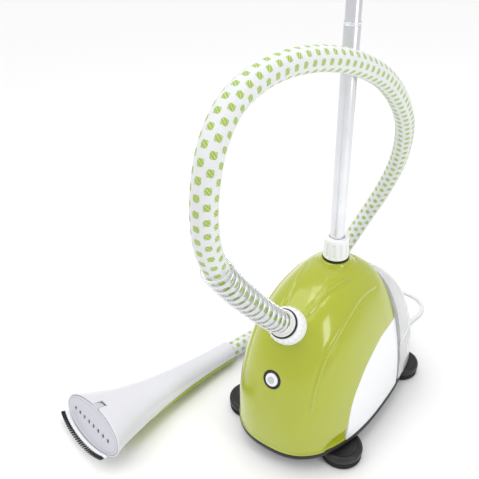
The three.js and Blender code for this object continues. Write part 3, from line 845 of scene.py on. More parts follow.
@dataclass
class SteamHose:
    """The woven hose with the spring that keeps it from kinking at the outlet."""

    radius: float = 14.8
    length: float = 1.54
    spring_from: float = 7.5
    spring_to: float = 214.0
    spring_radius: float = 17.0
    flare: float = 2.2
    wire: float = 1.35
    turns: int = 14
    turn_steps: int = 26

    def line(self) -> list[Vector]:
        """The hose's centreline in millimetres."""
        return smooth_path(HOSE_ROUTE, 16)

    def wire_line(self, line: Sequence[Vector]) -> list[Vector]:
        """The spring's own centreline, wound round the hose's.

        Args:
            line: the hose's centreline in millimetres.

        Returns:
            The points of the wire, in millimetres.
        """
        runs = [0.0]
        for a, b in zip(line, line[1:]):
            runs.append(runs[-1] + (b - a).length)
        made: list[Vector] = []
        side = Vector((1, 0, 0))
        count = self.turns * self.turn_steps
        k = 0
        for i in range(count + 1):
            run = self.spring_from + (self.spring_to - self.spring_from) * i / count
            while runs[k + 1] < run:
                k += 1
            share = (run - runs[k]) / (runs[k + 1] - runs[k])
            ahead = (line[k + 1] - line[k]).normalized()
            here = line[k].lerp(line[k + 1], share)
            side = (side - ahead * side.dot(ahead)).normalized()
            lift = ahead.cross(side)
            angle = TAU * i / self.turn_steps
            late = max(0.0, i / count - 0.86) / 0.14
            reach = self.spring_radius + self.flare * late**2
            made.append(here + (side * math.cos(angle) + lift * math.sin(angle)) * reach)
        return made

    def cuff(self) -> bpy.types.Object:
        """The cuff that the hose comes out of."""
        profile = [(15.3, 1.4), (19.4, 1.4), (19.4, 3.6), (18.4, 5.2), (15.9, 5.6), (15.9, 13.9),
                   (15.3, 13.9)]
        made = lathe("outlet_cuff", ringed(profile, 0.7, 3), 72)
        made = made.moved(placed(OUTLET, turned_by(x=OUTLET_TILT)))
        return dress(made.raw(), Finishes.PALE, "base", ["hose_cuff"])

    def build(self) -> None:
        """Makes the hose, its spring and its cuff."""
        line = self.line()
        hose = swept("woven_hose", line, self.radius, 36, with_lay=True)
        tube = dress(hose.moved(FOOT).raw(60), Finishes.HOSE, "base", ["steam_hose"])
        coil = swept("kink_guard_spring", self.wire_line(line), self.wire, 10)
        spring = dress(coil.moved(FOOT).raw(60), Finishes.WIRE, "base", ["hose_spring"])
        self.cuff()


@dataclass
class MainsLead:
    """The mains lead, its spare length in a tied coil behind the body, and its plug."""

    radius: float = 3.5
    length: float = 1.98
    hub: tuple[float, float] = (-48.0, 209.0)
    turns: tuple[tuple[float, float], ...] = (
        (45.5, 5.1), (38.5, 5.1), (38.5, 12.1), (45.5, 12.1), (38.5, 19.1), (45.5, 19.1))
    tail: tuple[Point, ...] = ((-5, 45.6, 20.5), (-19, 42.5, 25), (-31, 35, 29), (-38.5, 26.5, 30.6),
                               (-40, 18.5, 30.7), (-40, 12, 30.7))
    plug_at: Point = (-88.0, 191.0, 30.7)
    plug_half: tuple[float, float] = (12.0, 7.5)
    plug_length: float = 36.0
    blade_gap: float = 12.7

    def coil_points(self) -> list[Point]:
        """The turns and the tail, in millimetres from the pole's foot.

        Returns:
            The points after the lead's loose stretch.
        """
        made: list[Point] = []
        lead_in = math.hypot(LEAD_ROUTE[-1][0] - self.hub[0], LEAD_ROUTE[-1][1] - self.hub[1])
        steps, last = 24, 17
        for k, (radius, height) in enumerate(self.turns):
            before = self.turns[k - 1] if k else (lead_in, LEAD_ROUTE[-1][2])
            for i in range(last if k == len(self.turns) - 1 else steps):
                angle = math.pi + TAU * (i + 1.0) / steps
                u = min(1.0, (i + 1.0) / (9.0 if k == 0 else 4.0))
                u = u * u * (3 - 2 * u)
                r = before[0] + (radius - before[0]) * u
                z = before[1] + (height - before[1]) * u
                made.append((self.hub[0] + r * math.cos(angle), self.hub[1] + r * math.sin(angle), z))
        return made + [(self.hub[0] + x, self.hub[1] + y, z) for x, y, z in self.tail]

    def plug(self) -> list[bpy.types.Object]:
        """The plug's moulded body with its grip ribs and tail, and its two blades.

        Returns:
            The three pieces.
        """
        half, deep = self.plug_half
        outline = [(-half, 0), (half, 0), (half, 20), (half - 1.6, 27), (5.2, self.plug_length - 5),
                   (4.6, self.plug_length), (-4.6, self.plug_length), (-5.2, self.plug_length - 5),
                   (-half + 1.6, 27), (-half, 20)]
        body = slab("plug_moulding", ringed(outline, 2.2, 4), -deep, deep, 2.2, 4).raw()
        ribs = []
        for i in range(4):
            y = 8.0 + 3.4 * i
            for side in (-1, 1):
                x = side * (half + 0.2)
                ribs.append(("DIFFERENCE", block("rib", (x - 0.9, y, -5), (x + 0.9, y + 1.5, 5), 0.3).raw()))
        body = carved(body, ribs)
        body.data.transform(placed(self.plug_at))
        made = [dress(body, Finishes.WHITE, "base", ["plug_body"])]
        for name, side in (("a", -1), ("b", 1)):
            x = side * self.blade_gap / 2
            blade = block(f"plug_blade_{name}", (x - 0.75, -17, -3.1), (x + 0.75, -0.1, 3.1), 0.5).raw()
            hole = lathe("hole", [(0, -3), (1.5, -3), (1.5, 3), (0, 3)], 20)
            hole = hole.moved(Matrix.Translation((x, -13.5, 0)) @ turned_by(y=90)).raw()
            blade = carved(blade, [("DIFFERENCE", hole)])
            blade.data.transform(placed(self.plug_at))
            made.append(dress(blade, Finishes.WIRE, "base", [f"plug_pin_{name}"]))
        return made

    def tie(self) -> bpy.types.Object:
        """The strap round the coil.

        Returns:
            The strap.
        """
        low, high = 35.0, 49.0
        loop = ringed([(low - 1, 0.7), (high + 1, 0.7), (high + 1, 24), (low - 1, 24)], 2.6, 4)
        rings = []
        for y in (-3.0, 3.0):
            rings.append([Vector((x, y, z)) for x, z in loop])
        inner = ringed([(low - 0.1, 1.4), (high + 0.1, 1.4), (high + 0.1, 23), (low - 0.1, 23)], 2.0, 4)
        for y in (3.0, -3.0):
            rings.append([Vector((x, y, z)) for x, z in inner])
        band = skinned("coil_strap", rings, Sheet.LOOPED).moved(placed((*self.hub, 0)))
        return dress(band.raw(), Finishes.RUBBER, "base", ["coil_tie"])

    def relief(self) -> None:
        """The tapered, ribbed strain relief."""
        profile = [(3.8, 145.8), (5.5, 145.8), (5.5, 150)]
        for i in range(8):
            z, r = 151.0 + 3.2 * i, 5.3 - 0.12 * i
            profile += [(r, z), (r, z + 1.9), (r - 0.8, z + 2.1), (r - 0.8, z + 3.0)]
        profile += [(4.3, 177.4), (3.8, 177.8)]
        made = lathe("lead_sleeve", ringed(profile, 0.3, 2), 32)
        made = made.moved(placed((45, 0, 29), turned_by(x=-90)))
        dress(made.raw(), Finishes.BLACK, "base", ["lead_strain_relief"])

    def build(self) -> None:
        """Makes the lead, its coil, strap, sleeve and plug."""
        line = smooth_path([*LEAD_ROUTE, *self.coil_points()], 5)
        lead = swept("lead", line, self.radius, 14).moved(FOOT).raw(60)
        cable = dress(lead, Finishes.LEAD, "base", ["mains_lead", "mains_coil"])
        LOG.info("lead runs %.3f m", run_of(line) * MM)
        self.relief()
        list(self.plug())
        self.tie()


# ------------------------------------------------------------------ egg-shaped body
@dataclass(frozen=True)
class Form:
    """The egg-shaped envelope: an oval in plan, closing to a dome."""

    half_width: float = 106.6
    front: float = 200.0
    rear: float = 134.0
    power: float = 2.6
    centre_y: float = 14.0
    lean: float = -24.0
    bottom: float = 33.0
    top: float = 267.6
    profile_m: float = 1.94
    profile_k: float = 2.55

    def rings(self, grow: float, low: float, levels: int, around: int,
              dent: Optional[Callable[[float], float]] = None, extra: Sequence[float] = ()) -> np.ndarray:
        """The envelope's surface.

        Args:
            grow: how far it is grown, or shrunk if negative.
            low: the height of its lowest ring.
            levels: how many rings it has.
            around: how many points each ring has.
            dent: how far it is pressed in at the rear at a height, if it is.
            extra: more heights that it has rings at.

        Returns:
            An array of rings by points by coordinates, in millimetres.
        """
        top = self.top + grow
        angles = (np.arange(around) + 0.5) / around * TAU
        c, k = np.cos(angles), np.sin(angles)
        lift = np.linspace(0, 1, levels)[:-1] * (math.pi / 2)
        t = (1 - np.cos(lift) ** self.profile_k) ** (1 / self.profile_m)
        heights = self.bottom + t * (top - self.bottom)
        heights = np.unique(np.concatenate([[low], extra, heights[heights > max([low, *extra]) + 0.4]]))
        share = np.clip((heights - self.bottom) / (top - self.bottom), 0, 1)
        s = (1 - share**self.profile_m) ** (1 / self.profile_k)
        power = 2 / self.power
        made = np.zeros((len(heights), around, 3))
        back = np.where(k < 0, self.front, self.rear)
        for i, z in enumerate(heights):
            press = (dent(z) if dent else 0.0) * np.maximum(k, 0) ** 0.5
            made[i, :, 0] = ((self.half_width + grow) * s[i] - press) * np.sign(c) * np.abs(c) ** power
            made[i, :, 1] = (self.centre_y + self.lean * share[i]
                             + ((back + grow) * s[i] - press) * np.sign(k) * np.abs(k) ** power)
            made[i, :, 2] = z
        return made

    def solid(self, name: str, surface: np.ndarray) -> Piece:
        """A closed piece from rings of the envelope."""
        return skinned(name, [[Vector(p) for p in ring] for ring in surface])


def outward(surface: np.ndarray) -> np.ndarray:
    """The unit normals of a surface of rings.

    Args:
        surface: rings by points by coordinates.

    Returns:
        The normals, in the same order.
    """
    along = np.roll(surface, -1, axis=1) - np.roll(surface, 1, axis=1)
    up = np.gradient(surface, axis=0)
    normal = np.cross(along, up)
    return normal / np.maximum(np.linalg.norm(normal, axis=2, keepdims=True), 1e-9)


def nearness(surface: np.ndarray, line: Sequence[Vector]) -> np.ndarray:
    """The distance of each surface point from a line of points.

    Args:
        surface: rings by points by coordinates.
        line: the points of the line.

    Returns:
        The distances, rings by points.
    """
    best = np.full(surface.shape[:2], 1e9)
    for a, b in zip(line, line[1:]):
        start, run = np.array(a), np.array(b - a)
        share = np.clip(((surface - start) @ run) / (run @ run), 0, 1)
        best = np.minimum(best, np.linalg.norm(surface - start - share[..., None] * run, axis=2))
    return best


@dataclass
class Body:
    """The front shell with its raised neck, the side panels and the wall before the tank."""

    form: Form = Form()
    wall: float = 2.6
    split_y: float = 46.0
    gap: float = 0.35
    levels: int = 190
    around: int = 520
    panel: tuple[tuple[float, float], ...] = (
        (-109, 20), (-108, 60), (-103, 90), (-94, 112), (-83, 126), (-62, 145), (-30, 160), (-3, 166.5),
        (38, 166), (55, 165))
    creases: tuple[tuple[Point, ...], ...] = (
        ((62, 16, 233), (60.5, -14, 237.5), (60.5, -41, 236), (61.5, -71, 228), (61.5, -97, 216),
         (60, -124, 197), (59, -142, 174.5), (59, -155, 147), (60, -162, 121)),
        ((37, -22, 259), (31.5, -49, 260), (27, -70, 258), (22.5, -96, 250), (20, -110, 242.5)))
    crease_mm: float = 2.1
    lip_steps: tuple[float, ...] = (0.6, 2.2, 2.6, 2.9, 3.2, 3.6, 4.4)

    def skin(self) -> Piece:
        """The outside, with its creases, foot arches and lower lip.

        Returns:
            A closed piece, still in millimetres.
        """
        lip = [self.form.bottom + rise for rise in self.lip_steps]
        surface = self.form.rings(0, self.form.bottom, self.levels, self.around, extra=lip)
        normal = outward(surface)
        press = np.zeros(surface.shape[:2])
        for crease in self.creases:
            for side in (1, -1):
                line = smooth_path([(side * x, y, z) for x, y, z in crease], 6)
                away = nearness(surface, line)
                fade = np.exp(-(away / 1.9) ** 2)
                press += self.crease_mm * fade - 0.5 * self.crease_mm * np.exp(-(away / 7.0) ** 2)
        for side in (1, -1):
            across = np.hypot(surface[..., 0] - side * 87.5, surface[..., 1] + 110)
            reach = np.hypot(across / 38.0, np.maximum(surface[..., 2] - 33.0, 0) / 21.0)
            press -= 2.0 / (1 + np.exp((reach - 1.0) * 26))
        press += 1.2 / (1 + np.exp((surface[..., 2] - self.form.bottom - 2.9) * 9.0))
        return self.form.solid("shell_lime", surface + normal * press[..., None])

    def inside(self, name: str, more: float = 0.0) -> Piece:
        """The hollow under the skin.

        Args:
            name: the piece's name.
            more: how much deeper it is set than the wall.

        Returns:
            The closed piece.
        """
        return self.form.solid(name, self.form.rings(-self.wall - more, 29.0, 40, 96))

    def outline(self, grow: float) -> list[tuple[float, float]]:
        """The side panel's outline seen from the side, grown forwards and upwards.

        Args:
            grow: how far it is grown.

        Returns:
            Its points, as (y, z) pairs.
        """
        top = smooth_path([(y, z, 0) for y, z in self.panel], 6)
        loop = [(p.x - grow, p.y + grow) for p in top]
        return [*loop, (60.0, 10.0), (loop[0][0], 10.0)]

    def through(self, grow: float, low: float, high: float) -> bpy.types.Object:
        """The panel's outline as a solid across the body.

        Args:
            grow: how far the outline is grown.
            low: how far left it starts.
            high: how far right it ends.

        Returns:
            The solid, in millimetres.
        """
        side = Matrix(((0, 0, 1, 0), (1, 0, 0, 0), (0, 1, 0, 0), (0, 0, 0, 1)))
        loop = list(reversed(self.outline(grow)))
        made = slab("through", loop, low, high)
        return made.moved(side).raw()

    def neck(self) -> Piece:
        """The raised ring round the pole, with soft steps down to the dome."""
        profile = [(14.6, 252), (40, 252), (36.5, 258.6), (31.5, 262.6), (28.2, 265.2), (26.4, 266.6),
                   (24.8, 267.2), (23.7, 268.6), (22.6, 270.3), (21.6, 271.2), (20.2, 271.5), (14.6, 271.5)]
        return lathe("neck", ringed(profile, 1.2, 2), 96)

    def build(self) -> None:
        """Makes the shells."""
        hole = lathe("hole", [(0, -20), (14.35, -20), (14.35, 20), (0, 20)], 64)
        hole = hole.moved(Matrix.Translation((0, -173, 156.5)) @ turned_by(x=71.5)).raw()
        steam = lathe("steam", [(0, -60), (14.5, -60), (14.5, 20), (0, 20)], 64)
        steam = steam.moved(Matrix.Translation(OUTLET) @ turned_by(x=OUTLET_TILT)).raw()
        bore = lathe("bore", [(0, 200), (14.6, 200), (14.6, 300), (0, 300)], 64).raw()
        rear = block("rear", (-200, self.split_y, -10), (200, 300, 400)).raw()
        shell = carved(self.skin().raw(), [
            ("UNION", self.neck().raw()), ("DIFFERENCE", self.inside("hollow").raw()), ("DIFFERENCE", rear),
            ("DIFFERENCE", self.through(self.gap, -200, 200)), ("DIFFERENCE", hole), ("DIFFERENCE", steam),
            ("DIFFERENCE", bore)])
        shell.data.transform(FOOT)
        dress(shell, Finishes.SHELL, "base", ["front_shell"])
        for name, low, high in (("right", 20, 200), ("left", -200, -20)):
            panel = self.form.solid(f"panel_{name}", self.form.rings(0.0, self.form.bottom, 90, 260)).raw()
            back = block("rear", (-200, self.split_y, -10), (200, 300, 400)).raw()
            carved(panel, [("DIFFERENCE", self.inside("hollow").raw()), ("DIFFERENCE", back),
                           ("INTERSECT", self.through(0.0, low, high))])
            panel.data.transform(FOOT)
            dress(panel, Finishes.WHITE, "base", [f"side_panel_{name}"])
        wall = self.inside("tank_wall", 0.4).raw()
        carved(wall, [("INTERSECT", block("cut", (-200, 42.8, 37), (200, 45.4, 400)).raw())])
        wall.data.transform(FOOT)
        dress(wall, Finishes.SATIN, "base", ["rear_wall"])


@dataclass
class BaseAndFeet:
    """The black tray under the shells and the four pods that it stands on."""

    form: Form = Form()
    grow: float = 1.5
    spots: tuple[tuple[str, float, float], ...] = (
        ("front_right", 87.5, -110), ("front_left", -87.5, -110),
        ("rear_right", 84, 116), ("rear_left", -84, 116))

    def plan(self, inset: float, z: float) -> list[Vector]:
        """The tray's plan at an inset.

        Args:
            inset: how far in from the rim it is.
            z: its height.

        Returns:
            The points of the ring.
        """
        ring = self.form.rings(self.grow - inset, self.form.bottom, 4, 220)[0]
        return [Vector((p[0], p[1], z)) for p in ring]

    def tray(self) -> None:
        """The tray: a rounded rim, a wall and a floor."""
        levels = [(5.0, 23.4), (2.4, 23.6), (1.0, 24.4), (0.3, 25.6), (0.0, 27.2), (0.0, 30.6), (0.25, 31.8),
                  (0.9, 32.5), (2.6, 32.6), (3.3, 31.9), (3.4, 27.4), (4.4, 26.5)]
        made = skinned("base_tray", [self.plan(inset, z) for inset, z in levels])
        dress(made.moved(FOOT).raw(), Finishes.BLACK, "base", ["base_plate"])

    def pod(self, name: str, x: float, y: float) -> None:
        """One pod: a dished cap on a ribbed rubber pad.

        Args:
            name: which corner it stands at.
            x: how far right it is of the pole.
            y: how far behind the pole it is.
        """
        cap = [(0, 10.5), (30.4, 10.5), (32.0, 12.2), (32.2, 17.5), (31.4, 20.6), (28.9, 22.6), (26.2, 23.0),
               (24.6, 22.3), (0, 21.4)]
        made = lathe(f"pod_cap_{name}", rounded(cap, 1.4, 4), 72).moved(placed((x, y, 0)))
        dress(made.raw(), Finishes.BLACK, "base", [f"foot_cap_{name}"])
        pad = [(0, 0), (29.2, 0), (31.0, 1.4), (31.3, 3.0), (30.6, 3.6), (30.6, 4.6), (31.3, 5.2),
               (31.3, 6.4),
               (30.6, 7.0), (30.6, 8.0), (31.2, 8.6), (30.9, 9.9), (0, 9.9)]
        made = lathe(f"pod_pad_{name}", rounded(pad, 0.5, 2), 72).moved(placed((x, y, 0)))
        dress(made.raw(), Finishes.RUBBER, "base", [f"foot_pad_{name}"])

    def build(self) -> None:
        """Makes the tray and the pods."""
        self.tray()
        for name, x, y in self.spots:
            self.pod(name, x, y)


@dataclass
class WaterTank:
    """The clear tank at the rear with its grip groove, cap, seal and valve."""

    form: Form = Form(rear=150.0, power=3.8, top=252.0, profile_m=2.42)
    wall: float = 2.4
    bottom: float = 38.0
    front_y: float = 50.6
    middle_y: float = 98.0
    groove_z: float = 106.0
    groove: float = 5.0

    def dent(self, z: float) -> float:
        """How far the grip groove presses in at a height."""
        away = abs(z - self.groove_z)
        return self.groove * 0.5 * (1 + math.cos(math.pi * away / 13)) if away < 13 else 0.0

    def half(self, name: str, grow: float, low: float, front: float) -> bpy.types.Object:
        """The tank's form behind a front plane.

        Args:
            name: the object's name.
            grow: how far the form is grown, or shrunk if negative.
            low: the height of its underside.
            front: how far behind the pole its front plane is.

        Returns:
            The solid, in millimetres.
        """
        made = self.form.solid(name, self.form.rings(grow, low, 120, 200, self.dent)).raw()
        return carved(made, [("INTERSECT", block("keep", (-200, front, 0), (200, 300, 400)).raw())])

    def build(self) -> None:
        """Makes the tank and what is in its mouth."""
        tank = self.half("tank_clear_body", 0.0, self.bottom, self.front_y)
        hollow = self.half("hollow", -self.wall, self.bottom + self.wall, self.front_y + self.wall)
        spot = Matrix.Translation((0, self.middle_y, 0))
        neck = lathe("neck", [(0, 34.7), (15.2, 34.7), (15.2, 39.5), (0, 39.5)], 48).moved(spot).raw()
        mouth = lathe("mouth", [(0, 20), (12.5, 20), (12.5, 42), (0, 42)], 48).moved(spot).raw()
        carved(tank, [("DIFFERENCE", hollow), ("UNION", neck), ("DIFFERENCE", mouth)])
        tank.data.transform(FOOT)
        dress(tank, Finishes.TANK, "tank", ["tank_body"])
        under = placed((0, self.middle_y, 0))
        cap = [(4.3, 29), (19.3, 29), (19.3, 36.1), (15.7, 36.1), (15.7, 31.3), (4.3, 31.3)]
        made = lathe("tank_screw_cap", ringed(cap, 0.5, 3), 96,
                     lambda angle, r, z: -0.5 * max(0.0, math.cos(angle * 24)) if r > 18 else 0.0)
        dress(made.moved(under).raw(), Finishes.WHITE, "tank_cap", ["tank_cap"])
        seal = ringed([(15.7, 36.5), (18.5, 36.5), (18.5, 37.6), (15.7, 37.6)], 0.4, 3)
        made = lathe("tank_ring_seal", seal, 64).moved(under)
        dress(made.raw(), Finishes.RUBBER, "tank", ["tank_seal"])
        poppet = [(0, 30.9), (3.7, 30.9), (3.7, 31.7), (7.9, 31.8), (7.9, 33.0), (6.6, 33.7), (0, 33.7)]
        made = lathe("tank_poppet", rounded(poppet, 0.3, 3), 48).moved(under)
        dress(made.raw(), Finishes.BLACK, "tank_valve", ["tank_valve"])


# ------------------------------------------------------------------ pole and hanger
@dataclass
class Pole:
    """The telescopic pole, its fluted collar, and the folding hanger on top."""

    collar_low: float = 275.3
    collar_high: float = 309.0
    flutes: int = 12
    arm_x: float = 21.0
    arm_z: float = 706.0

    def tube(self, name: str, radius: float, low: float, high: float, body: str) -> None:
        """One drawn tube with rolled ends.

        Args:
            name: lower, middle or upper.
            radius: its outer radius.
            low: the height of its lower end.
            high: the height of its upper end.
            body: the body that it moves with.
        """
        profile = [(radius - 0.6, low), (radius, low), (radius, high), (radius - 0.6, high)]
        made = lathe(f"tube_{name}", ringed(profile, 0.25, 2), 72).moved(FOOT)
        dress(made.raw(), Finishes.TUBE, body, [f"pole_{name}_tube"])

    def ferrule(self, name: str, radius: float, low: float, body: str) -> None:
        """The rolled ring at a tube's top: two beads with a dark groove between.

        Args:
            name: the tube that it is on.
            radius: the tube's outer radius.
            low: the height of the tube's top.
            body: the body that it moves with.
        """
        out = radius + 0.14
        profile = [(radius - 0.55, low + 0.2), (out, low + 0.2), (out, low + 1.8), (out - 0.5, low + 2.1),
                   (out - 0.5, low + 2.9), (out, low + 3.2), (out, low + 4.9), (radius - 0.55, low + 4.9)]
        made = lathe(f"ferrule_{name}", ringed(profile, 0.3, 3), 72).moved(FOOT)
        dress(made.raw(), Finishes.FERRULE, body, [f"pole_ferrule_{name}"])

    def collar_ribs(self, angle: float, radius: float, height: float) -> float:
        """The collar's flutes: grooves with arched tops between rounded ribs.

        Args:
            angle: the way round, in radians.
            radius: the radius there before the flutes.
            height: the height there.

        Returns:
            What to add to the radius.
        """
        if radius < 16.5:
            return 0.0
        phase = (angle * self.flutes / TAU) % 1.0
        across = abs(phase - 0.5) * 2
        arch = self.collar_high - 6.5 - 3.0 * (across / 0.62) ** 2 if across < 0.62 else -1.0
        inside = max(0.0, 1 - (across / 0.62) ** 2) ** 0.5
        rise = min(1.0, max(0.0, (arch - height) / 1.6))
        rise *= min(1.0, max(0.0, (height - self.collar_low - 3) / 1.5))
        return -1.6 * inside * rise

    def collar(self) -> None:
        """The fluted collar and the gasket under it."""
        low, high = self.collar_low, self.collar_high
        wall = [(19.2 - 1.2 * k / 30, low + 0.6 + (high - low - 3.4) * k / 30) for k in range(31)]
        top = [(17.6, high - 1.6), (16.8, high - 0.5), (15.6, high), (11.6, high), (11.5, high - 1.0),
               (11.5, 299.3), (14.5, 299.2), (14.5, low), (18.8, low)]
        made = lathe("pole_fluted_collar", [*wall, *top], 320, self.collar_ribs).moved(FOOT)
        dress(made.raw(30), Finishes.WHITE, "pole_collar", ["pole_collar"])
        seal = ringed([(14.4, 271.9), (19.7, 271.9), (19.9, 273.4), (19.7, 274.9), (14.4, 274.9)], 0.7, 3)
        made = lathe("neck_seal", seal, 72).moved(FOOT)
        dress(made.raw(), Finishes.RUBBER, "base", ["neck_gasket"])

    def head(self) -> None:
        """The head with its two forks, and the cradle for the handset."""
        profile = [(0, 672), (13.8, 672), (16, 688), (16, 716), (12, 724), (6, 726), (0, 726)]
        cap = lathe("pole_top", rounded(profile, 3.0, 5), 72).raw()
        fork = block("fork", (-30, -8, 697), (30, 8, 715), 2.5).raw()
        slots = [("DIFFERENCE", block("slot", (min(11.4 * s, 40 * s), -4.4, 600),
                                      (max(11.4 * s, 40 * s), 4.4, 800)).raw()) for s in (1, -1)]
        bore = lathe("bore", [(0, 600), (9.6, 600), (9.6, 690.3), (0, 690.3)], 48).raw()
        carved(cap, [("UNION", fork), *slots, ("DIFFERENCE", bore)])
        cap.data.transform(FOOT)
        dress(cap, Finishes.WHITE, "pole_upper", ["pole_head"])
        cradle = ringed([(-26, 0), (26, 0), (26, -26), (20, -26), (20, -6), (-20, -6), (-20, -26),
                         (-26, -26)],
                         2.6, 5)
        made = slab("handset_cradle", list(reversed(cradle)), 683, 692, 1.6, 4).moved(placed((0, -16.5, 0)))
        dress(made.raw(), Finishes.WHITE, "pole_upper", ["handset_hook"])

    def arm(self, name: str, side: int) -> None:
        """One hanger arm, with a grip lip at its end.

        Args:
            name: right or left.
            side: 1 for right and -1 for left.
        """
        outline = [(-7, -5), (40, -6), (120, -12), (180, -24), (188, -18), (189, -8), (180, -12), (120, -1),
                   (40, 6),
                   (-4, 6), (-7, 2)]
        flat = slab(f"hanger_{name}", ringed(outline, 3.5, 5), -4, 4, 1.5, 4)
        turn = turned_by(z=0 if side > 0 else 180) @ turned_by(x=90)
        made = flat.moved(placed((side * self.arm_x, 0, self.arm_z), turn))
        dress(made.raw(), Finishes.WHITE, f"hanger_{name}", [f"hanger_arm_{name}"])

    def build(self) -> None:
        """Makes the pole from the body up."""
        self.tube("lower", 11.0, 150, 610, "base")
        self.tube("middle", 10.1, 215, 650, "pole_middle")
        self.tube("upper", 9.2, 255, 690, "pole_upper")
        self.ferrule("lower", 11.0, 610, "base")
        self.ferrule("middle", 10.1, 650, "pole_middle")
        self.collar()
        self.head()
        self.arm("right", 1)
        self.arm("left", -1)


# ------------------------------------------------------------------ button and outlet
@dataclass
class PushButton:
    """The power button in its bezel."""

    spot: Point = (0, -173, 156.5)
    tilt: float = 71.5

    def build(self) -> None:
        """Makes the bezel, the button and the mark on it."""
        frame_of = placed(self.spot, turned_by(x=self.tilt))
        bezel = [(10.5, -6), (13.9, -6), (13.9, 0.5), (13.4, 1.2), (12.6, 1.35), (11.6, 0.9), (10.5, 0.2)]
        made = lathe("button_ring", ringed(bezel, 0.4, 3), 72).moved(frame_of)
        dress(made.raw(), Finishes.BLACK, "base", ["button_bezel"])
        profile = [(0, -8), (3, -8), (3, -3), (9.9, -3), (9.9, 1.4), (9.0, 2.5), (7.2, 3.1), (5.9, 3.3),
                   (5.6, 2.9), (0, 2.9)]
        made = lathe("button_cap", rounded(profile, 0.5, 3), 72).moved(frame_of)
        dress(made.raw(), Finishes.WHITE, "power_button", ["power_button"])
        mark = lathe("button_dot", rounded([(0, 2.95), (5.2, 2.95), (5.2, 3.4), (0, 3.6)], 0.2, 2), 48)
        dress(mark.moved(frame_of).raw(), Finishes.MARK, "power_button")


@dataclass
class SteamOutlet:
    """The flange on the dome, the ribbed nut and its ring."""

    spot: Point = OUTLET
    tilt: float = OUTLET_TILT
    ribs: int = 20

    def nut_ribs(self, angle: float, radius: float, height: float) -> float:
        """The grip ribs round the nut.

        Args:
            angle: the way round, in radians.
            radius: the radius there before the ribs.
            height: the height there along the axis.

        Returns:
            What to add to the radius.
        """
        if radius < 21 or not -15.5 < height < -4:
            return 0.0
        rise = min(1.0, (height + 15.5) / 1.5, (-4 - height) / 1.5)
        return -1.5 * rise * (0.5 + 0.5 * math.cos(angle * self.ribs)) ** 2

    def build(self) -> None:
        """Makes the pieces round the outlet's axis."""
        frame_of = placed(self.spot, turned_by(x=self.tilt))
        dome = Form()
        seat = ringed([(14.5, -30), (26.9, -30), (26.9, -17.1), (14.5, -17.1)], 0.9, 3)
        flange = lathe("outlet_seat", seat, 96)
        flange = flange.moved(Matrix.Translation(self.spot) @ turned_by(x=self.tilt)).raw()
        carved(flange, [("DIFFERENCE", dome.solid("dome", dome.rings(0.3, 33, 70, 160)).raw())])
        flange.data.transform(FOOT)
        dress(flange, Finishes.WHITE, "base", ["outlet_flange"])
        wall = [(27.0, -16.2), (27.0, -14.6), (26.9, -13), (26.8, -11), (26.6, -9), (25.9, -6.8),
                (24.6, -4.6), (23.2, -2.9), (22.3, -2.0), (21.6, -1.65), (14.5, -1.65), (14.5, -16.6),
                (26.6, -16.6)]
        made = lathe("outlet_nut", wall, 288, self.nut_ribs).moved(frame_of)
        dress(made.raw(30), Finishes.WHITE, "hose_nut", ["hose_nut"])
        ring = ringed([(14.5, -1.2), (21.4, -1.2), (21.4, 0.4), (20.8, 0.95), (14.5, 0.95)], 0.4, 3)
        made = lathe("outlet_ring", ring, 72).moved(frame_of)
        dress(made.raw(), Finishes.BLACK, "base", ["nut_ring"])


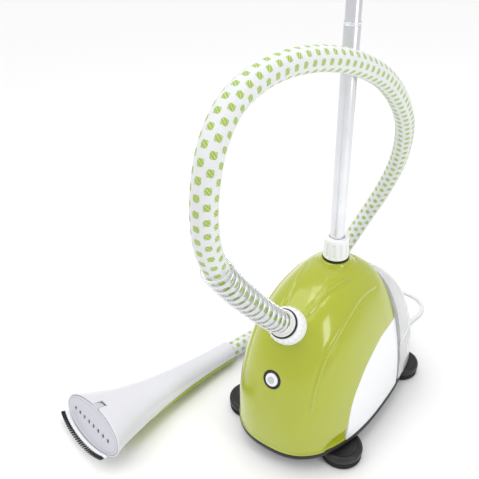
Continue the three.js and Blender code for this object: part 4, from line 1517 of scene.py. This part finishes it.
# ------------------------------------------------------------------ handset
@dataclass
class Handset:
    """The flared steam handset on the floor, with its steam plate and clip-on brush."""

    spot: Point = (-247, -312.5, 35)
    yaw: float = -13.0
    roll: float = -7.0
    tilt: float = 27.0
    face: tuple[float, float] = (84.0, 31.0)
    wall: float = 2.2
    holes: int = 8
    pitch: float = 15.2
    around: int = 96
    stations: tuple[tuple[float, ...], ...] = (
        (0, 0, 84, 31, 27), (24, -2.5, 69, 27.5, 21), (54, -5.5, 53, 24.6, 14), (95, -9, 39, 22.4, 8),
        (145, -12, 29, 20.8, 4), (205, -14.5, 22.5, 19.4, 0), (280, -15.6, 18.8, 18.8, 0))
    keel: tuple[tuple[float, ...], ...] = ((0, 24, 54, 95, 145, 205, 280), (0, 2.5, 6, 8, 6.5, 3.5, 0))
    lower: tuple[tuple[float, float], ...] = ((10, -70), (21, -24), (60, -13.5), (300, -17.5), (300, -70))
    brush_span: tuple[float, float] = (208.0, 318.0)
    seam: float = 0.35
    tufts: int = 54
    tuft_radius: float = 1.45
    tuft_root: float = 7.5
    tuft_tip: float = 13.5

    def whole(self) -> Matrix:
        """From the handset's own axes to the row frame."""
        return placed(self.spot, turned_by(y=self.roll, z=self.yaw))

    def face_frame(self) -> Matrix:
        """From the axes of its face to the row frame."""
        return self.whole() @ turned_by(x=-self.tilt)

    def ring(self, station: Sequence[float], grow: float) -> list[Vector]:
        """One section of the shell.

        Args:
            station: its y, z, half-width, half-height and lean in degrees.
            grow: how far it is grown, or shrunk if negative.

        Returns:
            Its points, in the handset's own axes.
        """
        y, z, a, b, lean = station
        made = []
        for j in range(self.around):
            angle = TAU * (j + 0.5) / self.around
            h = (b + grow) * math.sin(angle)
            low = min(1.0, max(0.0, 0.25 - math.sin(angle)) / 0.6)
            wide = a + grow + low * float(np.interp(y, *self.keel))
            made.append(Vector((wide * math.cos(angle), y + h * math.sin(math.radians(lean)),
                                z + h * math.cos(math.radians(lean)))))
        return made

    def sections(self) -> list[list[float]]:
        """The stations with smooth ones between them.

        Returns:
            A row for each section, like a station.
        """
        knots = np.array(self.stations)
        fine = np.concatenate([np.linspace(0, 24, 9)[:-1], np.linspace(24, 280, 56)])
        slopes = np.gradient(knots[:, 1:], knots[:, 0], axis=0)
        made = []
        for y in fine:
            i = int(np.clip(np.searchsorted(knots[:, 0], y) - 1, 0, len(knots) - 2))
            gap = knots[i + 1, 0] - knots[i, 0]
            u = (y - knots[i, 0]) / gap
            row = ((2 * u**3 - 3 * u**2 + 1) * knots[i, 1:] + (u**3 - 2 * u**2 + u) * gap * slopes[i]
                   + (3 * u**2 - 2 * u**3) * knots[i + 1, 1:] + (u**3 - u**2) * gap * slopes[i + 1])
            made.append([y, *row])
        return made

    def shell(self, name: str) -> bpy.types.Object:
        """The hollow trumpet, open at both ends.

        Args:
            name: the object's name.

        Returns:
            The object, in the handset's own axes.
        """
        rows = self.sections()
        lip = [0.0, *rows[0][1:]]
        outer = [self.ring(lip, -0.8), self.ring([0.5, lip[1] - 0.1, *lip[2:]], -0.15)]
        outer += [self.ring(row, 0.0) for row in rows[1:]]
        end = rows[-1]
        outer += [self.ring([end[0] + 0.8, *end[1:]], -0.6)]
        made = skinned(name, outer).raw()
        first = [-6, 2, rows[0][2] + 2, rows[0][3], rows[0][4]]
        hollow = [self.ring(first, -self.wall)] + [self.ring(row, -self.wall) for row in rows]
        hollow += [self.ring([end[0] + 6, *end[1:]], -self.wall)]
        return carved(made, [("DIFFERENCE", skinned("hollow", hollow).raw())])

    def below(self, grow: float) -> bpy.types.Object:
        """The space of the lower shell as a solid across the handset.

        Args:
            grow: how far it is grown upwards and forwards.

        Returns:
            The solid, in the handset's own axes.
        """
        loop = [(y - grow if y < 30 else y, z + grow if z > -60 else z) for y, z in self.lower]
        loop = ringed(loop, 9.0, 8)
        side = Matrix(((0, 0, 1, 0), (1, 0, 0, 0), (0, 1, 0, 0), (0, 0, 0, 1)))
        return slab("below", list(reversed(loop)), -95, 95).moved(side).raw()

    def plate(self) -> None:
        """The steam plate: a stepped oval with a row of steam holes and a clip tab."""
        a, b = self.face[0] - self.wall - 0.9, self.face[1] - self.wall - 0.9
        levels = [(0.0, 1.5), (0.0, -0.6), (0.25, -1.1), (0.9, -1.4), (3.2, -1.5), (3.8, -0.8), (4.6, -0.8),
                  (5.2, -1.4), (9.0, -1.5)]
        rings = [[Vector(((a - i) * math.cos(t), (b - i) * math.sin(t), -z))
                  for t in (TAU * k / 140 for k in range(140))] for i, z in levels]
        top = skinned("steam_face", rings).moved(turned_by(x=90)).raw()
        tools = [("UNION", block("tab", (-8, -1.4, 23), (8, 1.4, 31.6), 1.0).raw()),
                 ("UNION", block("clip", (-8, 0, 28.6), (8, 14, 31.5), 0.8).raw())]
        for i in range(self.holes):
            x = (i - (self.holes - 1) / 2) * self.pitch
            funnel = [(0, -6), (3.9, -6), (3.9, -1.45), (3.0, -0.7), (2.9, 6), (0, 6)]
            hole = lathe("hole", rounded(funnel, 0.2, 2), 28)
            hole = hole.moved(Matrix.Translation((x, 0, 0)) @ turned_by(x=-90)).raw()
            tools.append(("DIFFERENCE", hole))
        carved(top, tools)
        top.data.transform(self.face_frame())
        dress(top, Finishes.GREY, "base", ["steam_plate"])

    def oval(self, inset: float, angle: float) -> Vector:
        """A point on the face's oval, moved outwards by a few millimetres.

        Args:
            inset: how far outwards it is moved.
            angle: the way round, in radians.

        Returns:
            The point, in the face's axes.
        """
        a, b = self.face
        return Vector(((a + inset) * math.cos(angle), 0, (b + inset) * math.sin(angle)))

    def brush(self) -> None:
        """The brush's curved frame and its two rows of leaning tufts."""
        start, end = (math.radians(v) for v in self.brush_span)
        section = ringed([(-3.6, -2.1), (2.2, -2.1), (2.2, -7.9), (-3.6, -7.9)], 1.3, 4)
        rings = []
        steps = 72
        for k in range(steps + 1):
            angle = start + (end - start) * k / steps
            pull = min(1.0, min(k, steps - k) / 2.0 * 0.35 + 0.65)
            rings.append([self.oval(-0.7 + (i + 0.7) * pull, angle) + Vector((0, -5 + (y + 5) * pull, 0))
                          for i, y in section])
        made = skinned("brush_rail", rings).moved(self.face_frame())
        dress(made.raw(), Finishes.WHITE, "brush", ["brush_frame"])
        tufts = Piece("brush_tufts", [], [])
        for k in range(self.tufts):
            angle = start + (end - start) * (k + 1.2) / (self.tufts + 1.4)
            side = 1 if k % 2 else -1
            root = self.oval(0.6 + 0.8 * side, angle) - Vector((0, self.tuft_root, 0))
            tip = self.oval(1.6 + 0.8 * side, angle + 0.006 * side) - Vector((0, self.tuft_tip, 0))
            line = [root.lerp(tip, u) for u in (0, 0.5, 0.85, 1.0)]
            run = (tip - root).length
            tufts.added(swept("tuft", line, lambda s, full=run: self.tuft_radius - 0.2 * s / full, 8))
        dress(tufts.moved(self.face_frame()).raw(50), Finishes.BRISTLE, "brush",
              ["brush_bristles"])

    def build(self) -> None:
        """Makes the handset's shells, plate and brush."""
        notch = block("notch", (-8.6, -3, 26.2), (8.6, 14.8, 40)).moved(turned_by(x=-self.tilt)).raw()
        upper = carved(self.shell("handset_trumpet"),
                       [("DIFFERENCE", self.below(self.seam)), ("DIFFERENCE", notch)])
        upper.data.transform(self.whole())
        # the upper shell takes the darker white, painted shade for its sun-facing top
        dress(upper, Finishes.SHADED_PEARL, "base", ["handset_upper_shell"])
        lower = carved(self.shell("handset_underside"), [("INTERSECT", self.below(0.0))])
        lower.data.transform(self.whole())
        dress(lower, Finishes.GRIP, "base", ["handset_lower_shell"])
        self.plate()
        self.brush()


class InnerWorks:
    """The pieces inside the shells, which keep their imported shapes."""

    COATS: dict[str, Finish] = {
        "pole_socket": Finishes.BLACK, "switch_body": Finishes.BLACK, "outlet_spigot": Finishes.BLACK,
        "tank_seat": Finishes.BLACK, "thermostat": Finishes.BLACK, "boiler_body": Finishes.CAST,
        "boiler_lid": Finishes.CAST, "heating_element": Finishes.WIRE, "thermal_fuse": Finishes.BRASS,
        "steam_pipe": Finishes.RUBBER, "water_feed_pipe": Finishes.TANK, "terminal_block": Finishes.SATIN,
    }

    def build(self) -> None:
        """Gives each its finish."""
        for name, finish in self.COATS.items():
            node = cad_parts[name]
            node.data.materials.clear()
            node.data.materials.append(finish.material())
            soften(node)
            LOG.info("%s: finish %s", name, finish.name)


def main() -> None:
    """Builds the stage and the steamer."""
    logging.basicConfig(level=logging.INFO, format="%(name)s: %(message)s")
    Studio().build()
    for part in (SteamHose(), MainsLead(), Body(), BaseAndFeet(), WaterTank(), Pole(), PushButton(),
                 SteamOutlet(), Handset(), InnerWorks()):
        part.build()


if __name__ == "__main__":
    main()
